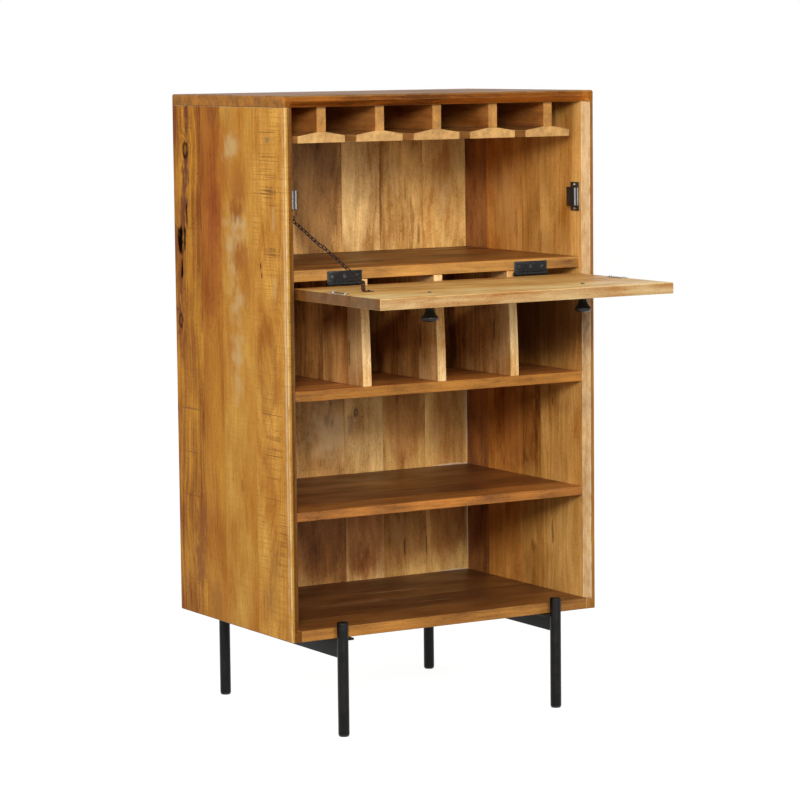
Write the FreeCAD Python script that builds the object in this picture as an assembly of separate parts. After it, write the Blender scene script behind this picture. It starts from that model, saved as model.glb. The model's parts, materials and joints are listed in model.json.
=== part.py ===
import FreeCAD, Part
import math
import os

# Bar cabinet with a drop-down shelf, every piece as its own solid, in millimetres.
#
# While the pieces are made, X runs to the right, Y from the front face to the back, and Z up from
# the floor.  At the end they all move along Y, so that the origin lies under the middle of the
# cabinet with its shelf folded out.

# ---- Body ------------------------------------------------------------------------------------
BODY_WIDTH = 700.0
BODY_DEPTH = 465.0
BODY_HEIGHT = 1040.0
LEG_CLEARANCE = 190.0           # floor to the underside of the body
SIDE_THICKNESS = 22.0
TOP_THICKNESS = 22.0
BOTTOM_THICKNESS = 22.0
BACK_THICKNESS = 18.0
FRONT_BEVEL = 12.0              # 45 degree bevel round the inside of the front frame
ARRIS_RADIUS = 4.0              # worn outer corners of the body
SHELF_ARRIS = 1.5               # softened front edges of shelves and flap

# ---- Shelves: heights are of the top face over the underside of the body ----------------------
COUNTER_HEIGHT = 710.0
COUNTER_THICKNESS = 22.0
COUNTER_SETBACK = 22.0
BOTTLE_SHELF_HEIGHT = 480.0
BOTTLE_SHELF_THICKNESS = 20.0
LOWER_SHELF_HEIGHT = 248.0
LOWER_SHELF_THICKNESS = 18.0
SHELF_SETBACK = 13.0
DIVIDER_COUNT = 3
DIVIDER_THICKNESS = 19.0
DIVIDER_CLEARANCE = 0.5         # divider to the hinges and the root of the flap
DIVIDER_BOW = 1.6               # how far the front edge of a divider bows out of straight

# ---- Hanging rails for stemmed glasses --------------------------------------------------------
RAIL_COUNT = 5
RAIL_END_GAP = 19.2             # side panel to the nearest flange
RAIL_SETBACK = 24.0
GLASS_SLOT = 24.4               # slot between two flanges, for the stem of a glass
STEM_WIDTH = 20.0
STEM_HEIGHT = 48.0
FLANGE_THICKNESS = 20.0
FLANGE_EDGE = 13.0
FLANGE_ARRIS = 2.0

# ---- Drop flap and its butt hinges ------------------------------------------------------------
FLAP_THICKNESS = 21.0
FLAP_SIDE_GAP = 2.5
FLAP_TOP_GAP = 12.0             # gap over the closed flap
HINGE_LENGTH = 76.0
HINGE_INSET = 116.0             # side panel to the middle of a hinge
HINGE_DROP = 7.5                # underside of the counter to the pin
LEAF_WIDTH = 25.0               # pin to the free edge of a leaf
LEAF_THICKNESS = 1.6
KNUCKLE_RADIUS = 4.0
KNUCKLE_COUNT = 5
KNUCKLE_GAP = 0.3
PIN_RADIUS = 2.0
PIN_HEAD_RADIUS = 3.0
PIN_HEAD_LENGTH = 1.2
PIN_PLAY = 0.05                 # radial running fit of the pin
HINGE_SCREW_SPACING = 27.0

# ---- Magnetic catches and their strike plates -------------------------------------------------
LEFT_CATCH_HEIGHT = 134.0       # counter to the middle of the catch
RIGHT_CATCH_HEIGHT = 119.0
CATCH_LENGTH = 57.0
CATCH_BLOCK_LENGTH = 38.0
CATCH_WIDTH = 13.0
CATCH_DEPTH = 27.0
CATCH_TAB_THICKNESS = 3.0
CATCH_GAP = 0.3                 # air left between strike plate and pole plates
POLE_PLATE_THICKNESS = 1.5
POLE_PLATE_LENGTH = 35.0
POLE_PLATE_DEPTH = 16.0
POLE_PLATE_LIP = 1.2            # how far the pole plates stand out of the housing
MAGNET_SINK = 0.6               # magnet face behind the edges of the pole plates
SLOT_WIDTH = 4.4
SLOT_LENGTH = 15.0
STRIKE_LENGTH = 54.0
STRIKE_WIDTH = 14.0
STRIKE_THICKNESS = 1.2
STRIKE_CORNER = 2.5
STRIKE_INSET = 1.0              # strike plate to the end of the flap
STRIKE_SCREW_SPACING = 46.0

# ---- Stay chain on the left -------------------------------------------------------------------
EYE_HEIGHT = 99.0               # counter to the middle of the eye
EYE_SETBACK = 22.0
EYE_RADIUS = 4.0                # to the middle of the wire
EYE_WIRE = 2.4
EYE_SHANK = 14.0
EYE_SIDES = 12                  # straight lengths in the ring of the eye
ANCHOR_INSET = 67.0             # side panel to the end of the chain
ANCHOR_REACH = 155.2            # hinge pin to the end of the chain, along the flap
ANCHOR_RISE = 15.8              # end of the chain over the open flap
ANCHOR_SKEW = 0.85              # the slanting last link is centred on the ear by this step
ANCHOR_HOLE_RADIUS = 2.6
ANCHOR_THICKNESS = 1.6
ANCHOR_WIDTH = 14.0
ANCHOR_FOOT = 20.0
ANCHOR_BEND = 4.0               # inner radius of the bend between ear and foot
LINK_PITCH = 9.7                # wanted pitch: the links share the taut length evenly
LINK_WIRE = 2.0
LINK_INNER_WIDTH = 4.0
LINK_PLAY = 0.15
END_PLAY = 0.4                  # air between an end link and what it hangs on
LINK_SIDES = 8                  # straight lengths round a link, two of them long
UPPER_LINKS = 9
FOLD_CLEARANCE = 1.4            # air between the two halves of the chain where they part
WIRE_FLATS = 6                  # thin wire is made with this many flats

# ---- Knobs ------------------------------------------------------------------------------------
KNOB_END_INSET = 154.5          # end of the flap to the middle of a knob
KNOB_TIP_INSET = 81.3           # front edge of the open flap to the middle of a knob
KNOB_RADIUS = 16.4
KNOB_NECK_RADIUS = 6.8
KNOB_HEIGHT = 34.0
KNOB_RIM = 3.5
KNOB_DOME = 4.5
KNOB_FLARE_POWER = 2.6          # how late the trumpet-shaped neck opens out
KNOB_FLARE_STEPS = 6
KNOB_DOME_STEPS = 3
KNOB_FLATS = 32

# ---- Legs -------------------------------------------------------------------------------------
LEG_INSET = 105.0               # side of the body to the axis of a rod
ROD_RADIUS = 11.0
ROD_GAP = 0.5                   # rod to the face of the body
ROD_RISE = 33.0                 # how far a rod stands above the underside of the body
ROD_CHAMFER = 2.0
ANGLE_HEIGHT = 38.0
ANGLE_WIDTH = 31.0
ANGLE_THICKNESS = 4.5
ANGLE_OUTSET = 6.0              # axis of a rod to the outer face of the angle
ANGLE_COPE_PLAY = 0.1           # air between a rod and the end of the angle that meets it
ANGLE_SCREWS = 2
ANGLE_SCREW_INSET = 60.0        # faces of the body to the outermost screws
GLIDE_HEIGHT = 3.0
GLIDE_RADIUS = 10.0
GLIDE_SPIGOT_RADIUS = 4.0
GLIDE_SPIGOT = 10.0

# ---- Fasteners --------------------------------------------------------------------------------
HOLE_PLAY = 0.1                 # clearance of every hole and mortise, on each side
BACK_SCREW_INSET = 88.0         # side panel to the screws through the back
SMALL_FLATS = 12                # screws, pins and their holes are made with this many flats

# (head radius, shank radius, length under the surface it is set in)
HINGE_SCREW = (3.6, 1.75, 15.0)
STRIKE_SCREW = (2.8, 1.4, 10.0)
CATCH_SCREW = (3.2, 1.6, 15.0)
ANCHOR_SCREW = (3.0, 1.6, 12.0)
LEG_SCREW = (4.2, 2.1, 20.0)
BACK_SCREW = (3.8, 1.9, 40.0)
PAN_HEAD_HEIGHT = 2.0
KNOB_BOLT_RADIUS = 2.0
KNOB_BOLT_HEAD_RADIUS = 4.0
KNOB_BOLT_GRIP = 16.0           # length of bolt inside the knob

# Loose tenons: the sink is how far one goes into the piece that is drilled first.
TENON_INSET = 90.0              # middle of a tenon to the front and back ends of its joint
CARCASS_TENON_WIDTH = 40.0
CARCASS_TENON_THICKNESS = 7.0
CARCASS_TENON_LENGTH = 34.0
CARCASS_TENON_SINK = 13.0
DIVIDER_TENON_WIDTH = 60.0
DIVIDER_TENON_THICKNESS = 6.0
DIVIDER_TENON_LENGTH = 25.0
DIVIDER_TENON_SINK = 9.0
RAIL_TENON_WIDTH = 90.0
RAIL_TENON_THICKNESS = 6.0
RAIL_TENON_LENGTH = 30.0
RAIL_TENON_SINK = 11.0

# ---- Places worked out from the sizes above ---------------------------------------------------
UNDERSIDE = LEG_CLEARANCE
FLOOR_OF_BODY = UNDERSIDE + BOTTOM_THICKNESS
BODY_TOP = UNDERSIDE + BODY_HEIGHT
CEILING = BODY_TOP - TOP_THICKNESS
COUNTER_TOP = UNDERSIDE + COUNTER_HEIGHT
COUNTER_UNDERSIDE = COUNTER_TOP - COUNTER_THICKNESS
BOTTLE_SHELF_TOP = UNDERSIDE + BOTTLE_SHELF_HEIGHT
LOWER_SHELF_TOP = UNDERSIDE + LOWER_SHELF_HEIGHT
HALF_WIDTH = BODY_WIDTH / 2
INNER_HALF = HALF_WIDTH - SIDE_THICKNESS
BACK_FACE = BODY_DEPTH - BACK_THICKNESS             # front face of the back panel
FLANGES_WIDTH = 2 * (INNER_HALF - RAIL_END_GAP) - (RAIL_COUNT - 1) * GLASS_SLOT
FLANGE_WIDTH = FLANGES_WIDTH / RAIL_COUNT
RAIL_PITCH = FLANGE_WIDTH + GLASS_SLOT
HINGE_OFFSET = INNER_HALF - HINGE_INSET             # offsets are from the middle of the cabinet
ANCHOR_OFFSET = INNER_HALF - ANCHOR_INSET
BACK_SCREW_OFFSET = INNER_HALF - BACK_SCREW_INSET
LEG_OFFSET = HALF_WIDTH - LEG_INSET
PIN_Y = COUNTER_SETBACK - LEAF_THICKNESS / 2
PIN_Z = COUNTER_UNDERSIDE - HINGE_DROP
FLAP_TOP = PIN_Z - KNUCKLE_RADIUS - KNUCKLE_GAP
FLAP_UNDERSIDE = FLAP_TOP - FLAP_THICKNESS
FLAP_ROOT = COUNTER_SETBACK - LEAF_THICKNESS
FLAP_TIP = PIN_Y - (CEILING - FLAP_TOP_GAP - PIN_Z)
FLAP_HALF = INNER_HALF - FLAP_SIDE_GAP
KNOB_OFFSET = FLAP_HALF - KNOB_END_INSET
SHUT_FLAP_FACE = PIN_Y - (PIN_Z - FLAP_TOP)         # where the inner face of the shut flap stands
POLE_FACE = SHUT_FLAP_FACE + STRIKE_THICKNESS + CATCH_GAP
CATCH_FRONT = POLE_FACE + POLE_PLATE_LIP
ROD_FRONT = -ROD_GAP - ROD_RADIUS
ROD_BACK = BODY_DEPTH + ROD_GAP + ROD_RADIUS
CENTRE_Y = (FLAP_TIP + ROD_BACK + ROD_RADIUS) / 2   # middle of the whole cabinet, flap folded out
SIDES = {"left": -1, "right": 1}
CATCH_Z = {"left": COUNTER_TOP + LEFT_CATCH_HEIGHT, "right": COUNTER_TOP + RIGHT_CATCH_HEIGHT}

X_AXIS = FreeCAD.Vector(1, 0, 0)
Y_AXIS = FreeCAD.Vector(0, 1, 0)
Z_AXIS = FreeCAD.Vector(0, 0, 1)
TOUCH = 0.01                    # points nearer than this count as one


def at(x, y, z):
    return FreeCAD.Vector(x, y, z)


# ---- Making simple solids ---------------------------------------------------------------------
def block(x0, x1, y0, y1, z0, z1):
    """A box between two values on each axis; x0 and x1 may come in either order."""
    low, high = min(x0, x1), max(x0, x1)
    return Part.makeBox(high - low, y1 - y0, z1 - z0, at(low, y0, z0))


def prism(points, along):
    """A flat outline pushed along a vector."""
    return Part.Face(Part.makePolygon(points + points[:1])).extrude(along)


def placed(solid, origin, axis):
    """Stand a solid that was made along +Z on an origin, along an axis."""
    solid.Placement = FreeCAD.Placement(origin, FreeCAD.Rotation(Z_AXIS, axis))
    return solid


def turned(profile, origin, axis):
    """A profile of (radius, distance along the axis) turned into a solid about the axis."""
    points = [at(radius, 0, distance) for radius, distance in profile]
    face = Part.Face(Part.makePolygon(points + points[:1]))
    return placed(face.revolve(at(0, 0, 0), Z_AXIS, 360), origin, axis)


def flat(corners):
    return Part.Face(Part.makePolygon(corners + corners[:1]))


def skinned(loops, ends):
    """The solid of flat faces between loops of corners, closed by the faces in ends."""
    faces = list(ends)
    for near, far in zip(loops, loops[1:]):
        for i in range(len(near)):
            faces.append(flat([near[i - 1], near[i], far[i], far[i - 1]]))
    solid = Part.Solid(Part.Shell(faces))
    if solid.Volume < 0:
        solid.reverse()
    return solid


def flat_sided(rings, origin, axis, flats=SMALL_FLATS):
    """A turned piece with flats in place of its round faces, through rings of (radius, distance)."""
    turns = [2 * math.pi * i / flats for i in range(flats)]
    loops = [[at(radius * math.cos(turn), radius * math.sin(turn), distance) for turn in turns]
             for radius, distance in rings]
    return placed(skinned(loops, [flat(loops[0]), flat(loops[-1])]), origin, axis)


def corner_radius(radius, flats=SMALL_FLATS):
    """The radius to the corners of a flat-sided bore that a round bar of this radius can turn in."""
    return radius / math.cos(math.pi / flats)


def wire_loop(corners, wire):
    """A closed loop of thin wire round its corners, which lie in a plane square to Y."""
    loops = []
    for i, corner in enumerate(corners):
        before = (corner - corners[i - 1]).normalize()
        after = (corners[(i + 1) % len(corners)] - corner).normalize()
        outward = (before - after).normalize() / math.sqrt((1 + before.dot(after)) / 2)
        turns = [2 * math.pi * j / WIRE_FLATS for j in range(WIRE_FLATS)]
        loops.append([corner + (outward * math.cos(turn) + Y_AXIS * math.sin(turn)) * wire / 2
                      for turn in turns])
    return skinned(loops + loops[:1], [])


def round_corners(centre, radius, sides, first, last):
    """Corners of a polygon whose sides touch a circle in the XZ plane, numbered from +X."""
    turns = [2 * math.pi * (i + 0.5) / sides for i in range(first, last)]
    reach = corner_radius(radius, sides)
    return [centre + at(math.cos(turn), 0, math.sin(turn)) * reach for turn in turns]


def soften(solid, radius, wanted):
    """Round the edges for which wanted(list of end points) is true."""
    edges = [edge for edge in solid.Edges if wanted([vertex.Point for vertex in edge.Vertexes])]
    return solid.makeFillet(radius, edges)


def group(solids):
    return Part.makeCompound(solids)


# ---- Fasteners --------------------------------------------------------------------------------
def countersunk_screw(size, origin, axis, play=0.0):
    """A flat-head screw whose head lies flush at origin and points along axis."""
    head, shank, length = [value + play for value in size]
    return flat_sided([(head, 0), (shank, head - shank), (shank, length)], origin, axis)


def pan_screw(size, origin, axis, play=0.0):
    """A round-head screw: origin is on the surface under its head, axis points into the wood."""
    head, shank, length = [value + play for value in size]
    if play:
        return flat_sided([(shank, 0), (shank, length)], origin, axis)
    crown = (head + shank) / 2
    rings = [(crown, -PAN_HEAD_HEIGHT), (head, 0), (shank, 0), (shank, length)]
    return flat_sided(rings, origin, axis)


def tenon(size, origin, axis, play=0.0):
    """A flat loose tenon across the joint at origin: size is its width along Y, thickness, length
    and sink."""
    width, thickness, length, sink = size
    width, thickness, length = [value + 2 * play for value in (width, thickness, length)]
    corner = at(-thickness / 2, -width / 2, -sink - play)
    return placed(Part.makeBox(thickness, width, length, corner), origin, axis)


def fasten(parts, name, kind, size, places, held):
    """Add a group of like fasteners to parts, and cut their holes in the pieces they hold."""
    parts[name] = group([kind(size, origin, axis) for origin, axis in places])
    holes = group([kind(size, origin, axis, play=HOLE_PLAY) for origin, axis in places])
    for piece in held:
        parts[piece] = parts[piece].cut(holes)


# ---- Body -------------------------------------------------------------------------------------
def frame_bevel():
    """The cutter that bevels the inside of the front frame, with coned upper corners."""
    over = 1.0
    reach = FRONT_BEVEL + over
    tool = block(-INNER_HALF, INNER_HALF, -over, FRONT_BEVEL, FLOOR_OF_BODY, CEILING)
    for side in SIDES.values():
        corner = side * INNER_HALF
        outline = [
            at(corner + side * reach, -over, FLOOR_OF_BODY),
            at(corner, FRONT_BEVEL, FLOOR_OF_BODY),
            at(corner, -over, FLOOR_OF_BODY),
        ]
        tool = tool.fuse(prism(outline, at(0, 0, CEILING - FLOOR_OF_BODY)))
        tool = tool.fuse(Part.makeCone(reach, 0, reach, at(corner, -over, CEILING), Y_AXIS))
    outline = [
        at(-INNER_HALF, -over, CEILING + reach),
        at(-INNER_HALF, FRONT_BEVEL, CEILING),
        at(-INNER_HALF, -over, CEILING),
    ]
    return tool.fuse(prism(outline, at(2 * INNER_HALF, 0, 0)))


def side_panel(side):
    outer = side * HALF_WIDTH
    panel = block(side * INNER_HALF, outer, 0, BODY_DEPTH, UNDERSIDE, CEILING)

    def on_outer_face(ends):
        outside = all(abs(point.x - outer) < TOUCH for point in ends)
        return outside and not all(point.z > CEILING - TOUCH for point in ends)

    return soften(panel, ARRIS_RADIUS, on_outer_face).cut(frame_bevel())


def top_panel():
    panel = block(-HALF_WIDTH, HALF_WIDTH, 0, BODY_DEPTH, CEILING, BODY_TOP)

    def not_underneath(ends):
        return not all(point.z < CEILING + TOUCH for point in ends)

    return soften(panel, ARRIS_RADIUS, not_underneath).cut(frame_bevel())


def shelf(top, thickness, setback):
    """A board between the side panels, with softened front edges."""
    board = block(-INNER_HALF, INNER_HALF, setback, BACK_FACE, top - thickness, top)

    def long_front_edge(ends):
        in_front = all(point.y < setback + TOUCH for point in ends)
        return in_front and abs(ends[0].x - ends[1].x) > TOUCH

    return soften(board, SHELF_ARRIS, long_front_edge)


def body():
    return {
        "left_side_panel": side_panel(-1),
        "right_side_panel": side_panel(1),
        "top_panel": top_panel(),
        "bottom_panel": shelf(FLOOR_OF_BODY, BOTTOM_THICKNESS, 0),
        "back_panel": block(-INNER_HALF, INNER_HALF, BACK_FACE, BODY_DEPTH, UNDERSIDE, CEILING),
        "counter_shelf": shelf(COUNTER_TOP, COUNTER_THICKNESS, COUNTER_SETBACK),
        "bottle_shelf": shelf(BOTTLE_SHELF_TOP, BOTTLE_SHELF_THICKNESS, SHELF_SETBACK),
        "lower_shelf": shelf(LOWER_SHELF_TOP, LOWER_SHELF_THICKNESS, SHELF_SETBACK),
    }


# ---- Bottle dividers --------------------------------------------------------------------------
def divider_centres():
    bay = (2 * INNER_HALF - DIVIDER_COUNT * DIVIDER_THICKNESS) / (DIVIDER_COUNT + 1)
    first = -INNER_HALF + bay + DIVIDER_THICKNESS / 2
    return [first + index * (bay + DIVIDER_THICKNESS) for index in range(DIVIDER_COUNT)]


def divider(centre):
    """An upright whose bowed front edge leans back behind the leaves and knuckles of the hinges."""
    x = centre - DIVIDER_THICKNESS / 2
    foot = at(x, SHELF_SETBACK, BOTTLE_SHELF_TOP)
    knee = at(x, COUNTER_SETBACK + DIVIDER_CLEARANCE, FLAP_UNDERSIDE)
    neck = at(x, PIN_Y + KNUCKLE_RADIUS + DIVIDER_CLEARANCE, PIN_Z - KNUCKLE_RADIUS)
    middle = (foot + knee) / 2 - at(0, DIVIDER_BOW, 0)
    corners = [knee, neck, at(x, neck.y, COUNTER_UNDERSIDE), at(x, BACK_FACE, COUNTER_UNDERSIDE),
               at(x, BACK_FACE, BOTTLE_SHELF_TOP), foot]
    outline = [Part.Arc(foot, middle, knee).toShape()]
    outline += [Part.LineSegment(a, b).toShape() for a, b in zip(corners, corners[1:])]
    return Part.Face(Part.Wire(outline)).extrude(at(DIVIDER_THICKNESS, 0, 0))


def dividers():
    return {
        "bottle_divider_%d" % number: divider(centre)
        for number, centre in enumerate(divider_centres(), 1)
    }


# ---- Glass rails ------------------------------------------------------------------------------
def rail_centres():
    return [(index - (RAIL_COUNT - 1) / 2) * RAIL_PITCH for index in range(RAIL_COUNT)]


def rail_stem(centre):
    half = STEM_WIDTH / 2
    return block(centre - half, centre + half, RAIL_SETBACK, BACK_FACE, CEILING - STEM_HEIGHT, CEILING)


def rail_flange(centre):
    """A strip with a flat underside, whose top falls away on both sides of the stem."""
    under = CEILING - STEM_HEIGHT - FLANGE_THICKNESS
    half_profile = [
        (FLANGE_WIDTH / 2, under), (FLANGE_WIDTH / 2, under + FLANGE_EDGE),
        (STEM_WIDTH / 2, under + FLANGE_THICKNESS),
    ]
    profile = half_profile + [(-x, z) for x, z in reversed(half_profile)]
    outline = [at(centre + x, RAIL_SETBACK, z) for x, z in profile]
    strip = prism(outline, at(0, BACK_FACE - RAIL_SETBACK, 0))

    def front_corner(ends):
        upright = abs(ends[0].x - ends[1].x) < TOUCH
        return upright and all(point.y < RAIL_SETBACK + TOUCH for point in ends)

    return soften(strip, FLANGE_ARRIS, front_corner)


def glass_rails():
    parts = {}
    for number, centre in enumerate(rail_centres(), 1):
        parts["rail_stem_%d" % number] = rail_stem(centre)
        parts["rail_flange_%d" % number] = rail_flange(centre)
    return parts


# ---- Flap -------------------------------------------------------------------------------------
def flap():
    board = block(-FLAP_HALF, FLAP_HALF, FLAP_TIP, FLAP_ROOT, FLAP_UNDERSIDE, FLAP_TOP)

    def tip_edge(ends):
        return all(point.y < FLAP_TIP + TOUCH for point in ends)

    return {"drop_flap": soften(board, SHELF_ARRIS, tip_edge)}


# ---- Butt hinges ------------------------------------------------------------------------------
def knuckle_spans(centre):
    """The (start, end) of each knuckle along the pin, left to right."""
    length = (HINGE_LENGTH - (KNUCKLE_COUNT - 1) * KNUCKLE_GAP) / KNUCKLE_COUNT
    start = centre - HINGE_LENGTH / 2
    pitch = length + KNUCKLE_GAP
    return [(start + index * pitch, start + index * pitch + length) for index in range(KNUCKLE_COUNT)]


def hinge_leaf(centre, up, first):
    """One leaf: a plate above (up = 1) or below (up = -1) the pin, with every second knuckle."""
    near = KNUCKLE_RADIUS + KNUCKLE_GAP
    half = HINGE_LENGTH / 2
    y0, y1 = COUNTER_SETBACK - LEAF_THICKNESS, COUNTER_SETBACK
    z0, z1 = sorted((PIN_Z + up * near, PIN_Z + up * LEAF_WIDTH))
    leaf = block(centre - half, centre + half, y0, y1, z0, z1)
    root0, root1 = sorted((PIN_Z, PIN_Z + up * (near + LEAF_THICKNESS)))
    bores = []
    for start, end in knuckle_spans(centre)[first::2]:
        length, origin = end - start, at(start, PIN_Y, PIN_Z)
        knuckle = Part.makeCylinder(KNUCKLE_RADIUS, length, origin, X_AXIS)
        leaf = leaf.fuse([knuckle, block(start, end, y0, y1, root0, root1)])
        bore = corner_radius(PIN_RADIUS + PIN_PLAY)
        bores.append(flat_sided([(bore, 0), (bore, length)], origin, X_AXIS))
    return leaf.cut(bores).removeSplitter()


def hinge_pin(centre):
    """A pin with a low head at each end, just clear of the outer knuckles."""
    half = HINGE_LENGTH / 2 + KNUCKLE_GAP
    end = half + PIN_HEAD_LENGTH
    rings = [
        (PIN_HEAD_RADIUS, -end), (PIN_HEAD_RADIUS, -half), (PIN_RADIUS, -half),
        (PIN_RADIUS, half), (PIN_HEAD_RADIUS, half), (PIN_HEAD_RADIUS, end),
    ]
    return flat_sided(rings, at(centre, PIN_Y, PIN_Z), X_AXIS)


def hinges():
    parts = {}
    for name, side in SIDES.items():
        centre = side * HINGE_OFFSET
        parts["hinge_fixed_leaf_" + name] = hinge_leaf(centre, 1, 0)
        parts["hinge_moving_leaf_" + name] = hinge_leaf(centre, -1, 1)
        parts["hinge_pin_" + name] = hinge_pin(centre)
    return parts


def hinge_screw_places(up, y, axis):
    """Three screws across the middle of the plate of each leaf."""
    z = PIN_Z + up * (KNUCKLE_RADIUS + LEAF_WIDTH) / 2
    return [
        (at(side * HINGE_OFFSET + step * HINGE_SCREW_SPACING, y, z), axis)
        for side in SIDES.values() for step in (-1, 0, 1)
    ]


# ---- Magnetic catches -------------------------------------------------------------------------
def catch_slot_places(name, side):
    """The middles of the two screw slots, halfway along the end tabs, on the wall."""
    reach = (CATCH_LENGTH + CATCH_BLOCK_LENGTH) / 4
    y = CATCH_FRONT + CATCH_DEPTH / 2
    return [at(side * INNER_HALF, y, CATCH_Z[name] + step * reach) for step in (-1, 1)]


def catch_pocket(name, side):
    """The limits of the space for the magnet and its pole plates, open to the front."""
    inner = side * (INNER_HALF - CATCH_WIDTH + POLE_PLATE_THICKNESS)
    outer = side * (INNER_HALF - CATCH_TAB_THICKNESS)
    z0 = CATCH_Z[name] - POLE_PLATE_LENGTH / 2
    return inner, outer, POLE_FACE, POLE_FACE + POLE_PLATE_DEPTH, z0, z0 + POLE_PLATE_LENGTH


def catch_slot(place, side):
    """The cutter for one screw slot, with round ends."""
    radius = SLOT_WIDTH / 2
    half = SLOT_LENGTH / 2 - radius
    into = X_AXIS * -side
    ends = [place + at(0, step * half, 0) for step in (-1, 1)]
    rounds = [Part.makeCylinder(radius, CATCH_TAB_THICKNESS, end, into) for end in ends]
    channel = block(place.x, place.x - side * CATCH_TAB_THICKNESS, ends[0].y, ends[1].y,
                    place.z - radius, place.z + radius)
    return channel.fuse(rounds).removeSplitter()


def catch_housing(name, side):
    """A block with a magnet pocket between two thin end tabs with screw slots."""
    z, wall = CATCH_Z[name], side * INNER_HALF
    y0, y1 = CATCH_FRONT, CATCH_FRONT + CATCH_DEPTH
    base = block(wall, wall - side * CATCH_TAB_THICKNESS, y0, y1,
                 z - CATCH_LENGTH / 2, z + CATCH_LENGTH / 2)
    middle = block(wall, wall - side * CATCH_WIDTH, y0, y1,
                   z - CATCH_BLOCK_LENGTH / 2, z + CATCH_BLOCK_LENGTH / 2)
    cuts = [block(*catch_pocket(name, side))]
    cuts += [catch_slot(place, side) for place in catch_slot_places(name, side)]
    return base.fuse(middle).removeSplitter().cut(cuts)


def strike_plate(name, side):
    corner = strike_centre(name, side) - at(STRIKE_WIDTH / 2, STRIKE_LENGTH / 2, 0)
    plate = Part.makeBox(STRIKE_WIDTH, STRIKE_LENGTH, STRIKE_THICKNESS, corner)
    return soften(plate, STRIKE_CORNER, lambda ends: abs(ends[0].z - ends[1].z) > TOUCH)


def strike_centre(name, side):
    """The middle of the strike plate on the open flap, which meets the catch when it shuts."""
    x = FLAP_HALF - STRIKE_INSET - STRIKE_WIDTH / 2
    return at(side * x, PIN_Y - (CATCH_Z[name] - PIN_Z), FLAP_TOP)


def catches():
    parts = {}
    for name, side in SIDES.items():
        inner, outer, front, back, z0, z1 = catch_pocket(name, side)
        plate = side * POLE_PLATE_THICKNESS
        parts["catch_housing_" + name] = catch_housing(name, side)
        parts["catch_pole_plates_" + name] = group([
            block(inner, inner + plate, front, back, z0, z1),
            block(outer - plate, outer, front, back, z0, z1),
        ])
        parts["catch_magnet_" + name] = block(
            inner + plate, outer - plate, front + MAGNET_SINK, back, z0, z1)
        parts["strike_plate_" + name] = strike_plate(name, side)
    return parts


def strike_screw_places():
    places = []
    for name, side in SIDES.items():
        centre = strike_centre(name, side) + at(0, 0, STRIKE_THICKNESS)
        for step in (-1, 1):
            places.append((centre + at(0, step * STRIKE_SCREW_SPACING / 2, 0), Z_AXIS * -1))
    return places


def catch_screw_places():
    return [
        (place - at(side * CATCH_TAB_THICKNESS, 0, 0), X_AXIS * side)
        for name, side in SIDES.items() for place in catch_slot_places(name, side)
    ]


# ---- Stay chain -------------------------------------------------------------------------------
def eye_centre():
    stand_off = EYE_RADIUS + EYE_WIRE / 2 + HOLE_PLAY
    return at(-INNER_HALF + stand_off, EYE_SETBACK, COUNTER_TOP + EYE_HEIGHT)


def eye_pivot():
    """The middle of the wire at the bottom of the eye, about which the first link turns."""
    return eye_centre() - at(0, 0, EYE_RADIUS)


def anchor_pivot():
    """The middle of the wire of the last link, where it passes through the ear."""
    return at(-ANCHOR_OFFSET, PIN_Y - ANCHOR_REACH, FLAP_TOP + ANCHOR_RISE)


def chain_direction():
    return (anchor_pivot() - eye_pivot()).normalize()


def chain_start():
    return eye_pivot() - chain_direction() * (EYE_WIRE / 2 + END_PLAY - LINK_PLAY / 2)


def chain_end():
    return anchor_pivot() - chain_direction() * (LINK_WIRE + LINK_PLAY) / 2


def lower_link_count():
    """An even number of links, so that the last one lies across the ear of the anchor."""
    length = (chain_end() - chain_start()).Length
    return 2 * round((length / LINK_PITCH - UPPER_LINKS) / 2)


def link_pitch():
    length = (chain_end() - chain_start()).Length
    return length / (UPPER_LINKS + lower_link_count())


def chain_link():
    """One oval link round the origin, long in Z and flat in the XZ plane."""
    radius = (LINK_INNER_WIDTH + LINK_WIRE) / 2
    half = (link_pitch() + LINK_PLAY - LINK_INNER_WIDTH) / 2
    top, bottom, bend = at(0, 0, half), at(0, 0, -half), LINK_SIDES // 2
    corners = round_corners(top, radius, LINK_SIDES, 0, bend)
    corners += round_corners(bottom, radius, LINK_SIDES, bend, 2 * bend)
    return wire_loop(corners, LINK_WIRE)


def chain_run(start, direction, numbers):
    """Links threaded along a straight line, each turned a quarter against the one before."""
    across = (X_AXIS - direction * X_AXIS.dot(direction)).normalize()
    upright = direction.cross(across)
    pattern = chain_link()
    links = []
    for position, number in enumerate(numbers):
        wide = across if number % 2 else upright
        thin = direction.cross(wide)
        turn = FreeCAD.Rotation(FreeCAD.Matrix(
            wide.x, thin.x, direction.x, 0,
            wide.y, thin.y, direction.y, 0,
            wide.z, thin.z, direction.z, 0,
            0, 0, 0, 1))
        link = pattern.copy()
        link.Placement = FreeCAD.Placement(start + direction * link_pitch() * (position + 0.5), turn)
        links.append(link)
    return group(links)


def fold_offset():
    """Half the step to the side that lets the two halves of the chain pass each other."""
    return (LINK_WIRE + FOLD_CLEARANCE) / 2


def chain_lines():
    """(start, direction) of the upper half, and of the lower half, which parts from it sideways."""
    fold = chain_start() + chain_direction() * link_pitch() * UPPER_LINKS
    step = at(fold_offset(), 0, 0)
    upper = (fold - step - chain_start()).normalize()
    lower = (chain_end() - fold - step).normalize()
    return (chain_start(), upper), (chain_end() - lower * link_pitch() * lower_link_count(), lower)


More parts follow.
